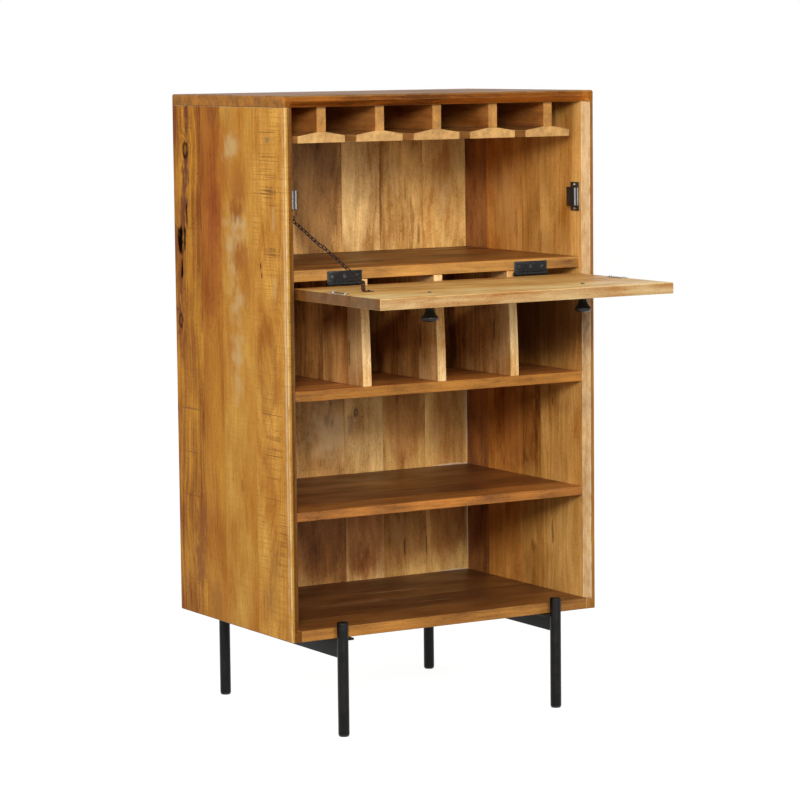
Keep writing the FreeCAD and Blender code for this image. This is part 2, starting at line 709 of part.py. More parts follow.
def chain():
    (upper_start, upper), (lower_start, lower) = chain_lines()
    return {
        "chain_eye": chain_eye(),
        "chain_upper_links": chain_run(upper_start, upper, range(UPPER_LINKS)),
        "chain_lower_links": chain_run(lower_start, lower, range(lower_link_count())),
        "chain_anchor": chain_anchor(),
    }


def chain_eye():
    """A screw eye: an upright ring that faces the front, on a shank in the side panel."""
    centre = eye_centre()
    ring = wire_loop(round_corners(centre, EYE_RADIUS, EYE_SIDES, 0, EYE_SIDES), EYE_WIRE)
    tip = at(-INNER_HALF - EYE_SHANK, centre.y, centre.z)
    length = centre.x - EYE_RADIUS - tip.x
    shank = flat_sided([(EYE_WIRE / 2, 0), (EYE_WIRE / 2, length)], tip, X_AXIS)
    return ring.fuse(shank)


def ear_x():
    return -ANCHOR_OFFSET - ANCHOR_SKEW


def anchor_hole():
    """The last link bears on the edge of the hole that is nearest to the eye."""
    pull = chain_direction()
    pull.x = 0
    slack = ANCHOR_HOLE_RADIUS - LINK_WIRE / 2 - END_PLAY
    centre = anchor_pivot() + pull.normalize() * slack
    return at(ear_x(), centre.y, centre.z)


def chain_anchor():
    """A bent plate: a round-topped ear with a hole for the last link, and a foot on the flap."""
    hole = anchor_hole()
    half = ANCHOR_WIDTH / 2
    x0, x1 = ear_x() - ANCHOR_THICKNESS / 2, ear_x() + ANCHOR_THICKNESS / 2
    y0, y1 = hole.y - half, hole.y + half
    z0, z1 = FLAP_TOP, FLAP_TOP + ANCHOR_THICKNESS
    bend_x, bend_z = x1 + ANCHOR_BEND, z1 + ANCHOR_BEND
    ear = block(x0, x1, y0, y1, bend_z, hole.z).fuse(
        Part.makeCylinder(half, ANCHOR_THICKNESS, at(x0, hole.y, hole.z), X_AXIS))
    bend = block(x0, bend_x, y0, y1, z0, bend_z).common(Part.makeCylinder(
        ANCHOR_BEND + ANCHOR_THICKNESS, ANCHOR_WIDTH, at(bend_x, y0, bend_z), Y_AXIS))
    bend = bend.cut(Part.makeCylinder(ANCHOR_BEND, ANCHOR_WIDTH, at(bend_x, y0, bend_z), Y_AXIS))
    foot = block(bend_x, x0 + ANCHOR_FOOT, y0, y1, z0, z1)
    bore = Part.makeCylinder(ANCHOR_HOLE_RADIUS, ANCHOR_THICKNESS, at(x0, hole.y, hole.z), X_AXIS)
    return ear.fuse([bend, foot]).removeSplitter().cut(bore)


def anchor_screw_places():
    flat_start = ear_x() + ANCHOR_THICKNESS / 2 + ANCHOR_BEND
    flat_end = ear_x() - ANCHOR_THICKNESS / 2 + ANCHOR_FOOT
    return [(at((flat_start + flat_end) / 2, anchor_hole().y, FLAP_TOP + ANCHOR_THICKNESS), Z_AXIS * -1)]


# ---- Knobs ------------------------------------------------------------------------------------
def knob_place(side):
    return at(side * KNOB_OFFSET, FLAP_TIP + KNOB_TIP_INSET, FLAP_UNDERSIDE)


def knob(side):
    """A turned knob: a trumpet-shaped neck that opens to a rim with a domed face."""
    rim_start = KNOB_HEIGHT - KNOB_DOME - KNOB_RIM
    rim_end = KNOB_HEIGHT - KNOB_DOME
    rings = []
    for step in range(KNOB_FLARE_STEPS + 1):
        share = step / KNOB_FLARE_STEPS
        flare = (KNOB_RADIUS - KNOB_NECK_RADIUS) * share ** KNOB_FLARE_POWER
        rings.append((KNOB_NECK_RADIUS + flare, rim_start * share))
    for step in range(KNOB_DOME_STEPS):
        angle = math.pi / 2 * step / KNOB_DOME_STEPS
        rings.append((KNOB_RADIUS * math.cos(angle), rim_end + KNOB_DOME * math.sin(angle)))
    rings.append((KNOB_RIM, KNOB_HEIGHT))
    return flat_sided(rings, knob_place(side), Z_AXIS * -1, KNOB_FLATS)


def knobs():
    return {"knob_" + name: knob(side) for name, side in SIDES.items()}


def knob_bolt_places():
    lift = at(0, 0, FLAP_THICKNESS)
    return [(knob_place(side) + lift, Z_AXIS * -1) for side in SIDES.values()]


# ---- Legs -------------------------------------------------------------------------------------
def leg_rod(x, y):
    """A round bar with a chamfered top, bored underneath for its glide."""
    top = UNDERSIDE + ROD_RISE
    bore = GLIDE_SPIGOT_RADIUS + HOLE_PLAY
    bore_top = GLIDE_HEIGHT + GLIDE_SPIGOT + HOLE_PLAY
    profile = [
        (0, GLIDE_HEIGHT), (ROD_RADIUS, GLIDE_HEIGHT), (ROD_RADIUS, top - ROD_CHAMFER),
        (ROD_RADIUS - ROD_CHAMFER, top), (0, top),
    ]
    bar = turned(profile, at(x, y, 0), Z_AXIS)
    return bar.cut(flat_sided([(bore, 0), (bore, bore_top)], at(x, y, 0), Z_AXIS))


def glide(x, y):
    """A plastic foot with a spigot that fits the bore of its rod."""
    chamfer = GLIDE_HEIGHT / 3
    rings = [
        (GLIDE_RADIUS - chamfer, 0), (GLIDE_RADIUS, chamfer), (GLIDE_RADIUS, GLIDE_HEIGHT),
        (GLIDE_SPIGOT_RADIUS, GLIDE_HEIGHT), (GLIDE_SPIGOT_RADIUS, GLIDE_HEIGHT + GLIDE_SPIGOT),
    ]
    return flat_sided(rings, at(x, y, 0), Z_AXIS)


def leg_angle(side):
    """A length of angle iron under the body, coped at both ends to the rods it is welded to."""
    outer = LEG_OFFSET + ANGLE_OUTSET
    inner, web = outer - ANGLE_WIDTH, outer - ANGLE_THICKNESS
    low, ledge = UNDERSIDE - ANGLE_HEIGHT, UNDERSIDE - ANGLE_THICKNESS
    profile = [
        (outer, UNDERSIDE), (outer, low), (web, low), (web, ledge), (inner, ledge), (inner, UNDERSIDE),
    ]
    outline = [at(side * x, ROD_FRONT, z) for x, z in profile]
    angle = prism(outline, at(0, ROD_BACK - ROD_FRONT, 0))
    for y in (ROD_FRONT, ROD_BACK):
        foot = at(side * LEG_OFFSET, y, 0)
        angle = angle.cut(Part.makeCylinder(ROD_RADIUS + ANGLE_COPE_PLAY, BODY_HEIGHT, foot))
    return max(angle.Solids, key=lambda solid: solid.Volume)


def legs():
    parts, glides = {}, []
    for name, side in SIDES.items():
        for end, y in (("front", ROD_FRONT), ("back", ROD_BACK)):
            parts["leg_rod_%s_%s" % (end, name)] = leg_rod(side * LEG_OFFSET, y)
            glides.append(glide(side * LEG_OFFSET, y))
        parts["leg_angle_" + name] = leg_angle(side)
    parts["floor_glides"] = group(glides)
    return parts


def leg_screw_places():
    x = LEG_OFFSET + ANGLE_OUTSET - (ANGLE_WIDTH + ANGLE_THICKNESS) / 2
    first, last = ANGLE_SCREW_INSET, BODY_DEPTH - ANGLE_SCREW_INSET
    step = (last - first) / (ANGLE_SCREWS - 1)
    return [
        (at(side * x, first + index * step, UNDERSIDE - ANGLE_THICKNESS), Z_AXIS)
        for side in SIDES.values() for index in range(ANGLE_SCREWS)
    ]


# ---- Joinery ----------------------------------------------------------------------------------
def carcass_tenon_places():
    """Two tenons in each end of every board, and two on top of each side panel."""
    boards = [
        (COUNTER_TOP, COUNTER_THICKNESS, COUNTER_SETBACK),
        (BOTTLE_SHELF_TOP, BOTTLE_SHELF_THICKNESS, SHELF_SETBACK),
        (LOWER_SHELF_TOP, LOWER_SHELF_THICKNESS, SHELF_SETBACK),
        (FLOOR_OF_BODY, BOTTOM_THICKNESS, 0.0),
    ]
    places = []
    for side in SIDES.values():
        for y in (TENON_INSET, BODY_DEPTH - TENON_INSET):
            places.append((at(side * (HALF_WIDTH - SIDE_THICKNESS / 2), y, CEILING), Z_AXIS * -1))
        for top, thickness, setback in boards:
            for y in (setback + TENON_INSET, BACK_FACE - TENON_INSET):
                places.append((at(side * INNER_HALF, y, top - thickness / 2), X_AXIS * -side))
    return places


def rail_tenon_places():
    middle = (RAIL_SETBACK + BACK_FACE) / 2
    return [(at(centre, middle, CEILING), Z_AXIS * -1) for centre in rail_centres()]


def divider_tenon_places():
    middle = (COUNTER_SETBACK + BACK_FACE) / 2
    places = []
    for centre in divider_centres():
        places.append((at(centre, middle, COUNTER_UNDERSIDE), Z_AXIS * -1))
        places.append((at(centre, middle, BOTTLE_SHELF_TOP), Z_AXIS))
    return places


def back_screw_places():
    levels = (
        COUNTER_TOP - COUNTER_THICKNESS / 2,
        BOTTLE_SHELF_TOP - BOTTLE_SHELF_THICKNESS / 2,
        LOWER_SHELF_TOP - LOWER_SHELF_THICKNESS / 2,
    )
    return [
        (at(side * BACK_SCREW_OFFSET, BODY_DEPTH, z), Y_AXIS * -1)
        for z in levels for side in SIDES.values()
    ]


def join(parts):
    """Add every tenon and screw, with its mortise or hole in the pieces that it holds together."""
    stems = ["rail_stem_%d" % number for number in range(1, RAIL_COUNT + 1)]
    uprights = ["bottle_divider_%d" % number for number in range(1, DIVIDER_COUNT + 1)]
    size = (CARCASS_TENON_WIDTH, CARCASS_TENON_THICKNESS, CARCASS_TENON_LENGTH, CARCASS_TENON_SINK)
    fasten(parts, "carcass_tenons", tenon, size, carcass_tenon_places(),
           ["left_side_panel", "right_side_panel", "top_panel", "counter_shelf", "bottle_shelf",
            "lower_shelf", "bottom_panel"])
    size = (RAIL_TENON_WIDTH, RAIL_TENON_THICKNESS, RAIL_TENON_LENGTH, RAIL_TENON_SINK)
    fasten(parts, "rail_tenons", tenon, size, rail_tenon_places(), ["top_panel"] + stems)
    size = (DIVIDER_TENON_WIDTH, DIVIDER_TENON_THICKNESS, DIVIDER_TENON_LENGTH, DIVIDER_TENON_SINK)
    fasten(parts, "divider_tenons", tenon, size, divider_tenon_places(),
           ["counter_shelf", "bottle_shelf"] + uprights)
    fasten(parts, "back_panel_screws", countersunk_screw, BACK_SCREW, back_screw_places(),
           ["back_panel", "counter_shelf", "bottle_shelf", "lower_shelf"])
    fasten(parts, "hinge_fixed_screws", countersunk_screw, HINGE_SCREW,
           hinge_screw_places(1, COUNTER_SETBACK - LEAF_THICKNESS, Y_AXIS),
           ["hinge_fixed_leaf_left", "hinge_fixed_leaf_right", "counter_shelf"])
    fasten(parts, "hinge_moving_screws", countersunk_screw, HINGE_SCREW,
           hinge_screw_places(-1, COUNTER_SETBACK, Y_AXIS * -1),
           ["hinge_moving_leaf_left", "hinge_moving_leaf_right", "drop_flap"])
    fasten(parts, "catch_screws", pan_screw, CATCH_SCREW, catch_screw_places(),
           ["left_side_panel", "right_side_panel"])
    fasten(parts, "strike_screws", pan_screw, STRIKE_SCREW, strike_screw_places(),
           ["strike_plate_left", "strike_plate_right", "drop_flap"])
    fasten(parts, "chain_anchor_screw", pan_screw, ANCHOR_SCREW, anchor_screw_places(),
           ["chain_anchor", "drop_flap"])
    bolt = (KNOB_BOLT_HEAD_RADIUS, KNOB_BOLT_RADIUS, FLAP_THICKNESS + KNOB_BOLT_GRIP)
    fasten(parts, "knob_bolts", pan_screw, bolt, knob_bolt_places(),
           ["drop_flap", "knob_left", "knob_right"])
    fasten(parts, "leg_screws", pan_screw, LEG_SCREW, leg_screw_places(),
           ["leg_angle_left", "leg_angle_right", "bottom_panel"])
    bore, mouth = EYE_WIRE / 2 + HOLE_PLAY, at(-INNER_HALF, eye_centre().y, eye_centre().z)
    pilot = flat_sided([(bore, 0), (bore, EYE_SHANK + HOLE_PLAY)], mouth, X_AXIS * -1)
    parts["left_side_panel"] = parts["left_side_panel"].cut(pilot)


def build():
    parts = {}
    for section in (body, dividers, glass_rails, flap, hinges, catches, chain, knobs, legs):
        parts.update(section())
    join(parts)
    return parts


def export(parts):
    os.makedirs("parts", exist_ok=True)
    for name, shape in sorted(parts.items()):
        finished = shape.copy()
        finished.translate(at(0, -CENTRE_Y, 0))
        finished.exportStep("parts/%s.step" % name)


if __name__ == "__main__":
    export(build())
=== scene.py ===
import json
import logging
import math
from collections.abc import Callable, Iterator
from contextlib import contextmanager
from dataclasses import dataclass
from enum import Enum
from functools import partial
from typing import Any

import bmesh
import bpy
import numpy as np
from bpy.types import Material, Node, NodeSocket, NodeTree, Object, World
from mathutils import Matrix, Vector

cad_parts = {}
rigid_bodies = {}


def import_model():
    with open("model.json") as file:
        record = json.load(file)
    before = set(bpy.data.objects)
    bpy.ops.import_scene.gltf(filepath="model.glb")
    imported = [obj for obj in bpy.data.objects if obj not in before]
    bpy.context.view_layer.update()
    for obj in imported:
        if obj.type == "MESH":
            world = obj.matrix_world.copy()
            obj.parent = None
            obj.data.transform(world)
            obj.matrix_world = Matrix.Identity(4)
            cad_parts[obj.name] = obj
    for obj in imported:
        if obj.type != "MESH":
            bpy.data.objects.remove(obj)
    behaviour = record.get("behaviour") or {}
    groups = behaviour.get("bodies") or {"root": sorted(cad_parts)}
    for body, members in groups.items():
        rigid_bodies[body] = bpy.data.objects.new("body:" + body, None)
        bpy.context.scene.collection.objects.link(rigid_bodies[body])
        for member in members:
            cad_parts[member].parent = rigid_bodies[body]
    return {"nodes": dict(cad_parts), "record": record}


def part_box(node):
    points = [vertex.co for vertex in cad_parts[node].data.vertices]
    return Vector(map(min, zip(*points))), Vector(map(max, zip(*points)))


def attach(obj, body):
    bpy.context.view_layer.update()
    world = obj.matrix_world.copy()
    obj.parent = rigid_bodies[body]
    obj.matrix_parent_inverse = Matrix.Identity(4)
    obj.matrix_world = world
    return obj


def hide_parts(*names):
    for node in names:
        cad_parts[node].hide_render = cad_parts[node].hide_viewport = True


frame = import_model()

# Bar cabinet of glued mango wood with a fold-out shelf, glass rails and a steel stand.
# Sizes and places are in millimetres, turned to metres where a mesh is made.
MM = 0.001
SMOOTH_ANGLE, SHARP_ANGLE, FLAT_ANGLE = (math.radians(angle) for angle in (30, 35, 0.3))
WIDEST_ARRIS = 2.5    # a softened face is at most this many times as wide as its bevel
log = logging.getLogger("bar_cabinet")


# ---- Bench: the few moves that every piece is made with -----------------------------------------
def deselect_all() -> None:
    """Let go of every object."""
    for thing in bpy.context.view_layer.objects:
        thing.select_set(False)


@contextmanager
def edit(piece: Object, mode: str = "EDGE") -> Iterator[None]:
    """Hold one piece in edit mode with nothing selected.

    Args:
        piece: the piece to shape.
        mode: what is selected, VERT, EDGE or FACE.
    """
    deselect_all()
    piece.select_set(True)
    bpy.context.view_layer.objects.active = piece
    bpy.ops.object.mode_set(mode="EDIT")
    bpy.ops.mesh.select_mode(type=mode)
    bpy.ops.mesh.select_all(action="DESELECT")
    yield
    bpy.ops.object.mode_set(mode="OBJECT")


def pick(piece: Object, parts: str, wanted: Callable[[Any], bool]) -> int:
    """Select the corners, edges or faces of a piece in edit mode that pass a test.

    Args:
        piece: the piece being shaped.
        parts: verts, edges or faces.
        wanted: the test.

    Returns:
        How many are selected.
    """
    form = bmesh.from_edit_mesh(piece.data)
    chosen = list(filter(wanted, getattr(form, parts)))
    for part in chosen:
        part.select_set(True)
    form.select_flush_mode()
    bmesh.update_edit_mesh(piece.data)
    return len(chosen)


def take_primitive(name: str) -> Object:
    """Name the primitive just added and bring its place into its mesh."""
    piece = bpy.context.active_object
    piece.name = piece.data.name = name
    bpy.ops.object.transform_apply(location=True, rotation=True, scale=True)
    return piece


def copy_of(piece: Object, name: str) -> Object:
    """Copy a piece together with its mesh."""
    copy = bpy.data.objects.new(name, piece.data.copy())
    bpy.context.scene.collection.objects.link(copy)
    return copy


def set_at(piece: Object, place: Vector, axis: Vector) -> Object:
    """Move a piece made upright at the origin to its place.

    Args:
        piece: the piece, made along +Z.
        place: where its origin goes, in mm.
        axis: where its +Z goes.

    Returns:
        The same piece.
    """
    turn = axis.to_track_quat("Z", "Y").to_matrix().to_4x4()
    piece.data.transform(Matrix.Translation(place * MM) @ turn)
    return piece


def joined(pieces: list[Object], name: str) -> Object:
    """Join several meshes into one piece.

    Args:
        pieces: the meshes, the first of which stays.
        name: name of the piece.

    Returns:
        The piece.
    """
    deselect_all()
    for piece in pieces:
        piece.select_set(True)
    bpy.context.view_layer.objects.active = pieces[0]
    bpy.ops.object.join()
    pieces[0].name = pieces[0].data.name = name
    return pieces[0]


def turned(name: str, rings: list[tuple[float, float]], sides: int) -> Object:
    """Turn a closed solid about Z by extruding a disc ring by ring.

    Args:
        name: name of the piece.
        rings: radius and height of each ring, in mm, from one end to the other.
        sides: number of flats round it.

    Returns:
        The piece, upright at the origin.
    """
    deselect_all()
    first_radius, first_height = rings[0]
    bpy.ops.mesh.primitive_circle_add(vertices=sides, radius=first_radius * MM, fill_type="NGON",
                                      location=(0, 0, first_height * MM))
    piece = take_primitive(name)
    with edit(piece, "FACE"):
        bpy.ops.mesh.select_all(action="SELECT")
        for (radius, height), (wider, higher) in zip(rings, rings[1:]):
            bpy.ops.mesh.extrude_region_move(
                TRANSFORM_OT_translate={"value": (0, 0, (higher - height) * MM)})
            bpy.ops.transform.resize(
                value=(wider / radius, wider / radius, 1), center_override=(0, 0, higher * MM))
        bpy.ops.mesh.select_all(action="SELECT")
        bpy.ops.mesh.normals_make_consistent(inside=False)
    return piece


def cut(piece: Object, tool: Object) -> Object:
    """Cut one piece out of another and throw the tool away.

    Args:
        piece: the piece to cut.
        tool: what is cut out of it.

    Returns:
        The same piece.
    """
    deselect_all()
    bpy.context.view_layer.objects.active = piece
    blade = piece.modifiers.new("cut", "BOOLEAN")
    blade.operation, blade.solver, blade.object = "DIFFERENCE", "EXACT", tool
    bpy.ops.object.modifier_apply(modifier=blade.name)
    bpy.data.objects.remove(tool)
    return piece


def islands(node: str) -> list[np.ndarray]:
    """Split a CAD node into its separate solids.

    Args:
        node: name of the node.

    Returns:
        The corner points of each solid in mm, from left to right and bottom to top.
    """
    form = bmesh.new()
    form.from_mesh(frame["nodes"][node].data)
    bmesh.ops.remove_doubles(form, verts=form.verts, dist=1e-6)
    left, found = set(form.verts), []
    while left:
        queue, island = [left.pop()], []
        while queue:
            corner = queue.pop()
            island.append(corner.co[:])
            for edge in corner.link_edges:
                other = edge.other_vert(corner)
                if other in left:
                    left.remove(other)
                    queue.append(other)
        found.append(np.array(island) / MM)
    form.free()
    return sorted(found, key=lambda points: tuple(np.round(points.mean(0), 2)))


def body_of(node: str) -> str:
    """The moving body that carries a CAD node."""
    bodies = frame["record"]["behaviour"]["bodies"]
    return next(name for name, nodes in bodies.items() if node in nodes)


def is_narrow(piece: Object, face: Any, width: float) -> bool:
    """Tell whether a face is a strip or a sliver no wider than a width in mm."""
    corners = [piece.data.vertices[index].co for index in face.vertices]
    around = sum((one - other).length for one, other in zip(corners, corners[1:] + corners[:1]))
    return face.area < around / 2 * width * MM


def worn_copy(node: str, arris: float, shortest: float, steps: int = 1) -> Object:
    """Copy a CAD node as one welded mesh and take the sharpness off its long edges.

    Args:
        node: name of the node.
        arris: width of the softened edge, in mm.
        shortest: edges shorter than this stay sharp, in mm.
        steps: faces across the softened edge.

    Returns:
        The copy, whose softened faces carry 1 in the attribute "arris".
    """
    piece = copy_of(frame["nodes"][node], node + "_worn")
    piece.data.materials.clear()
    with edit(piece):
        bpy.ops.mesh.customdata_custom_splitnormals_clear()
        bpy.ops.mesh.select_all(action="SELECT")
        bpy.ops.mesh.remove_doubles(threshold=1e-6)
        bpy.ops.mesh.dissolve_limited(angle_limit=FLAT_ANGLE)
        bpy.ops.mesh.select_all(action="DESELECT")
        chosen = pick(piece, "edges", lambda edge: len(edge.link_faces) == 2
                      and edge.calc_length() > shortest * MM
                      and edge.calc_face_angle_signed() > SHARP_ANGLE)
        if chosen:
            bpy.ops.mesh.bevel(offset=arris * MM, segments=steps, affect="EDGES",
                               clamp_overlap=False)
        bpy.ops.mesh.select_mode(type="FACE")
    marks = piece.data.attributes.new("arris", "FLOAT", "FACE")
    marks.data.foreach_set("value", [
        float(chosen > 0 and face.select and is_narrow(piece, face, arris * WIDEST_ARRIS))
        for face in piece.data.polygons])
    return piece


def fit(piece: Object, finish: Material, nodes: list[str]) -> Object:
    """Give a finished piece its finish and set it in the place of its CAD nodes.

    Args:
        piece: the piece, in place.
        finish: its material.
        nodes: the CAD nodes it stands for; the first one gives its body.

    Returns:
        The same piece.
    """
    deselect_all()
    piece.select_set(True)
    bpy.context.view_layer.objects.active = piece
    bpy.ops.object.shade_smooth_by_angle(angle=SMOOTH_ANGLE)
    piece.data.materials.clear()
    piece.data.materials.append(finish)
    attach(piece, body_of(nodes[0]))
    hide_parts(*nodes)
    log.info("%s: %d faces, %s", piece.name, len(piece.data.polygons), finish.name)
    return piece


def dress(node: str, finish: Material) -> None:
    """Give a CAD node that stays as it is its finish."""
    holder = frame["nodes"][node].material_slots[0]
    holder.link, holder.material = "OBJECT", finish
    log.info("%s: kept, %s", node, finish.name)


# ---- Finishes -----------------------------------------------------------------------------------
def linear(shade: str) -> tuple[float, float, float, float]:
    """Turn an sRGB hex value into a linear colour."""
    parts = [int(shade[start:start + 2], 16) / 255 for start in (1, 3, 5)]
    red, green, blue = (c / 12.92 if c <= 0.04045 else ((c + 0.055) / 1.055) ** 2.4 for c in parts)
    return red, green, blue, 1.0


def add_node(tree: NodeTree, kind: str, inputs: dict[int | str, Any] | None = None,
             stops: list[tuple[float, tuple]] | None = None, blend: str = "LINEAR",
             **settings: Any) -> Node:
    """Add one node with its settings, its values and its links.

    Args:
        tree: the material's tree.
        kind: the node's type, without ShaderNode.
        inputs: a value, a node or a socket for each input.
        stops: places and colours of a ramp.
        blend: how a ramp goes from stop to stop.
        settings: the node's own fields.

    Returns:
        The node.
    """
    node = tree.nodes.new("ShaderNode" + kind)
    for key, value in settings.items():
        setattr(node, key, value)
    if stops:
        ramp = node.color_ramp
        ramp.interpolation = blend
        ramp.elements.remove(ramp.elements[1])
        ramp.elements[0].position, ramp.elements[0].color = stops[0]
        for place, colour in stops[1:]:
            ramp.elements.new(place).color = colour
    for key, value in (inputs or {}).items():
        if isinstance(value, Node):
            value = next(out for out in value.outputs if out.enabled)
        if isinstance(value, NodeSocket):
            tree.links.new(value, node.inputs[key])
        else:
            node.inputs[key].default_value = value
    return node


def blank(owner: Material | World) -> Callable[..., Node]:
    """Empty the tree of a new material or world.

    Args:
        owner: the material or world.

    Returns:
        What adds a node to its tree.
    """
    owner.use_nodes = True
    owner.node_tree.nodes.clear()
    return partial(add_node, owner.node_tree)


class Axis(Enum):
    """A direction of the cabinet: to the right, to the back, or up."""

    X = 0
    Y = 1
    Z = 2


@dataclass(frozen=True)
class Stave:
    """One glued stave: where it ends across the board in mm, its tones and its figure."""

    end: float
    light: str
    dark: str
    figure: float = 0.25
    saw: float = 0.0
    streak: float = 0.4


@dataclass(frozen=True)
class Mark:
    """A knot, bark pocket, stain, pale cloud, crack, painted shade or painted light: an oval with a
    ragged edge, in mm.

    Its edge fades over the share soft of its size, its middle is bare up to the share bare, and
    bend is how many rings it pushes aside. A cloud has broad lobes instead of a frayed edge, a
    tint multiplies so that the grain shows through, as the wood's own tone and as painted shade,
    and a hatched mark shows only in the saw lines. With toward, it lies only on the faces that
    look that way.
    """

    across: float
    along: float
    half_width: float
    half_length: float
    shade: str
    cover: float = 1.0
    ragged: float = 0.5
    bend: float = 0.0
    soft: float = 0.5
    bare: float = 0.0
    cloud: bool = False
    glaze: bool = False
    hatched: bool = False
    sunk: bool = False
    toward: tuple[float, float, float] | None = None


def marks(*rows: tuple, **settings: Any) -> tuple[Mark, ...]:
    """Make marks that have their kind and their edge in common.

    Args:
        rows: across, along, half width, half length, shade, cover, ragged and bend of each.
        settings: what they have in common.

    Returns:
        The marks.
    """
    return tuple(Mark(*row, **settings) for row in rows)


def staves(*rows: tuple[float, str, str], figure: float = 0.12, saw: float = 0.0,
           streak: float = 0.5) -> tuple[Stave, ...]:
    """Make staves of one figure, each from its end and its two tones."""
    return tuple(Stave(*row, figure, saw, streak) for row in rows)


@dataclass(frozen=True)
class Facing:
    """What stain, sanding and use did to the faces that look one way, and the light and shade
    painted on them.

    With beyond, in mm, only to what lies further than that through the thickness of the board.
    """

    toward: tuple[float, float, float]
    gain: tuple[float, float, float] = (1.0, 1.0, 1.0)
    # How much their arrises are paled, as wear and as a painted highlight.
    worn_and_highlit: float = 0.0
    reach: float = 0.9
    beyond: float | None = None


FRONT, BACK, LEFT, RIGHT = (0, -1, 0), (0, 1, 0), (-1, 0, 0), (1, 0, 0)
UP, DOWN = (0, 0, 1), (0, 0, -1)
FRONT_LEFT, FRONT_RIGHT = (-0.707, -0.707, 0), (0.707, -0.707, 0)
FRONT_UP, FRONT_DOWN = (0, -0.707, 0.707), (0, -0.707, -0.707)

# Each pattern's period in mm across the stave, along the grain and through the board, then its
# detail. Real fibres and pores are a tenth as wide; they are drawn coarse enough to show.
PATTERNS = {
    "swirl": (85.0, 330.0, 85.0, 2),
    "figure": (30.0, 84.0, 30.0, 3),
    "fibre": (2.5, 20.0, 2.5, 2),
    "pore": (2.6, 5.5, 2.6, 1),
    "saw": (120.0, 3.3, 120.0, 2),
    "patch": (62.0, 150.0, 62.0, 2),
    "ragged": (9.0, 24.0, 9.0, 2),
    "cloud": (26.0, 30.0, 26.0, 4),
}
FIGURE_WARP = 0.35
STREAK_PERIOD = (8.0, 460.0, 8.0)
STAVE_SHIFT, STAVE_STEP = (613, 1777, 401), 0.37    # where each stave starts in the patterns
# How far each pattern swings the tone, from 0 for dark to 1 for light.
PATCH_SWING, FIBRE_SWING, FIGURE_SWING, STREAK_SWING = 1.9, 0.6, 3.6, 3.6
RING_WIDTH, RING_SWING, SWIRL_RINGS = 17.0, 0.10, 4.0
MIDDLE_TONE, TONE_RANGE = 0.5, (-0.12, 1.35)
PORE_DEPTH, PORE_EDGES = 0.28, (0.54, 0.72)
# A mark pushes the rings aside up to this many half widths away; it covers faces that look its
# way by this much; and its bare middle keeps this cover inside a rim of this width.
BEND_REACH, MARK_REACH, BARE_COVER, RIM = 2.6, 0.5, 0.25, (0.2, 0.15)
SAW_EDGES, SAW_PATCHES, HATCH_EDGES = (0.50, 0.64), (0.40, 0.60), (0.47, 0.60)
SAW_TINT, BLUSH_TINT, BLUSH_EDGES = (0.56, 0.46, 0.36, 1), (1.0, 0.84, 0.60, 1), (0.46, 0.66)
GLUE_HALF, GLUE_COVER = 0.55, 0.6
END_EDGES, SPECK_EDGES, SPECK_TONES = (0.6, 0.8), (0.32, 0.66), (0.45, 1.45)
# How the pale on the arrises, which is wear and a painted highlight, breaks up, and the least share
# of it.
WEAR_AND_HIGHLIGHT_EDGES, LEAST_WEAR_AND_HIGHLIGHT = (0.36, 0.6), 0.3
JOINT_SHADE = "#2a170a"
# The relief in the lacquer: its depth in mm, and how high fibres and how deep hollows go in it.
RELIEF_DEPTH, RELIEF_STRENGTH, FIBRE_HEIGHT, HOLLOW_DEPTH = 0.35, 0.6, 0.5, 1.2
DULL, SHINY = 0.08, -0.06    # roughness of dull and shiny patches over the board's own


@dataclass
class Ground:
    """What the patterns of one board are laid on: places in mm, each stave's recipe, and noises."""

    place: Node
    normal: NodeSocket
    end_grain: Node
    across: NodeSocket
    along: NodeSocket
    deep: NodeSocket
    board: Node
    shift: Node
    light: Node
    dark: Node
    figure: NodeSocket
    saw: NodeSocket
    streak: NodeSocket
    noises: dict[str, Node]


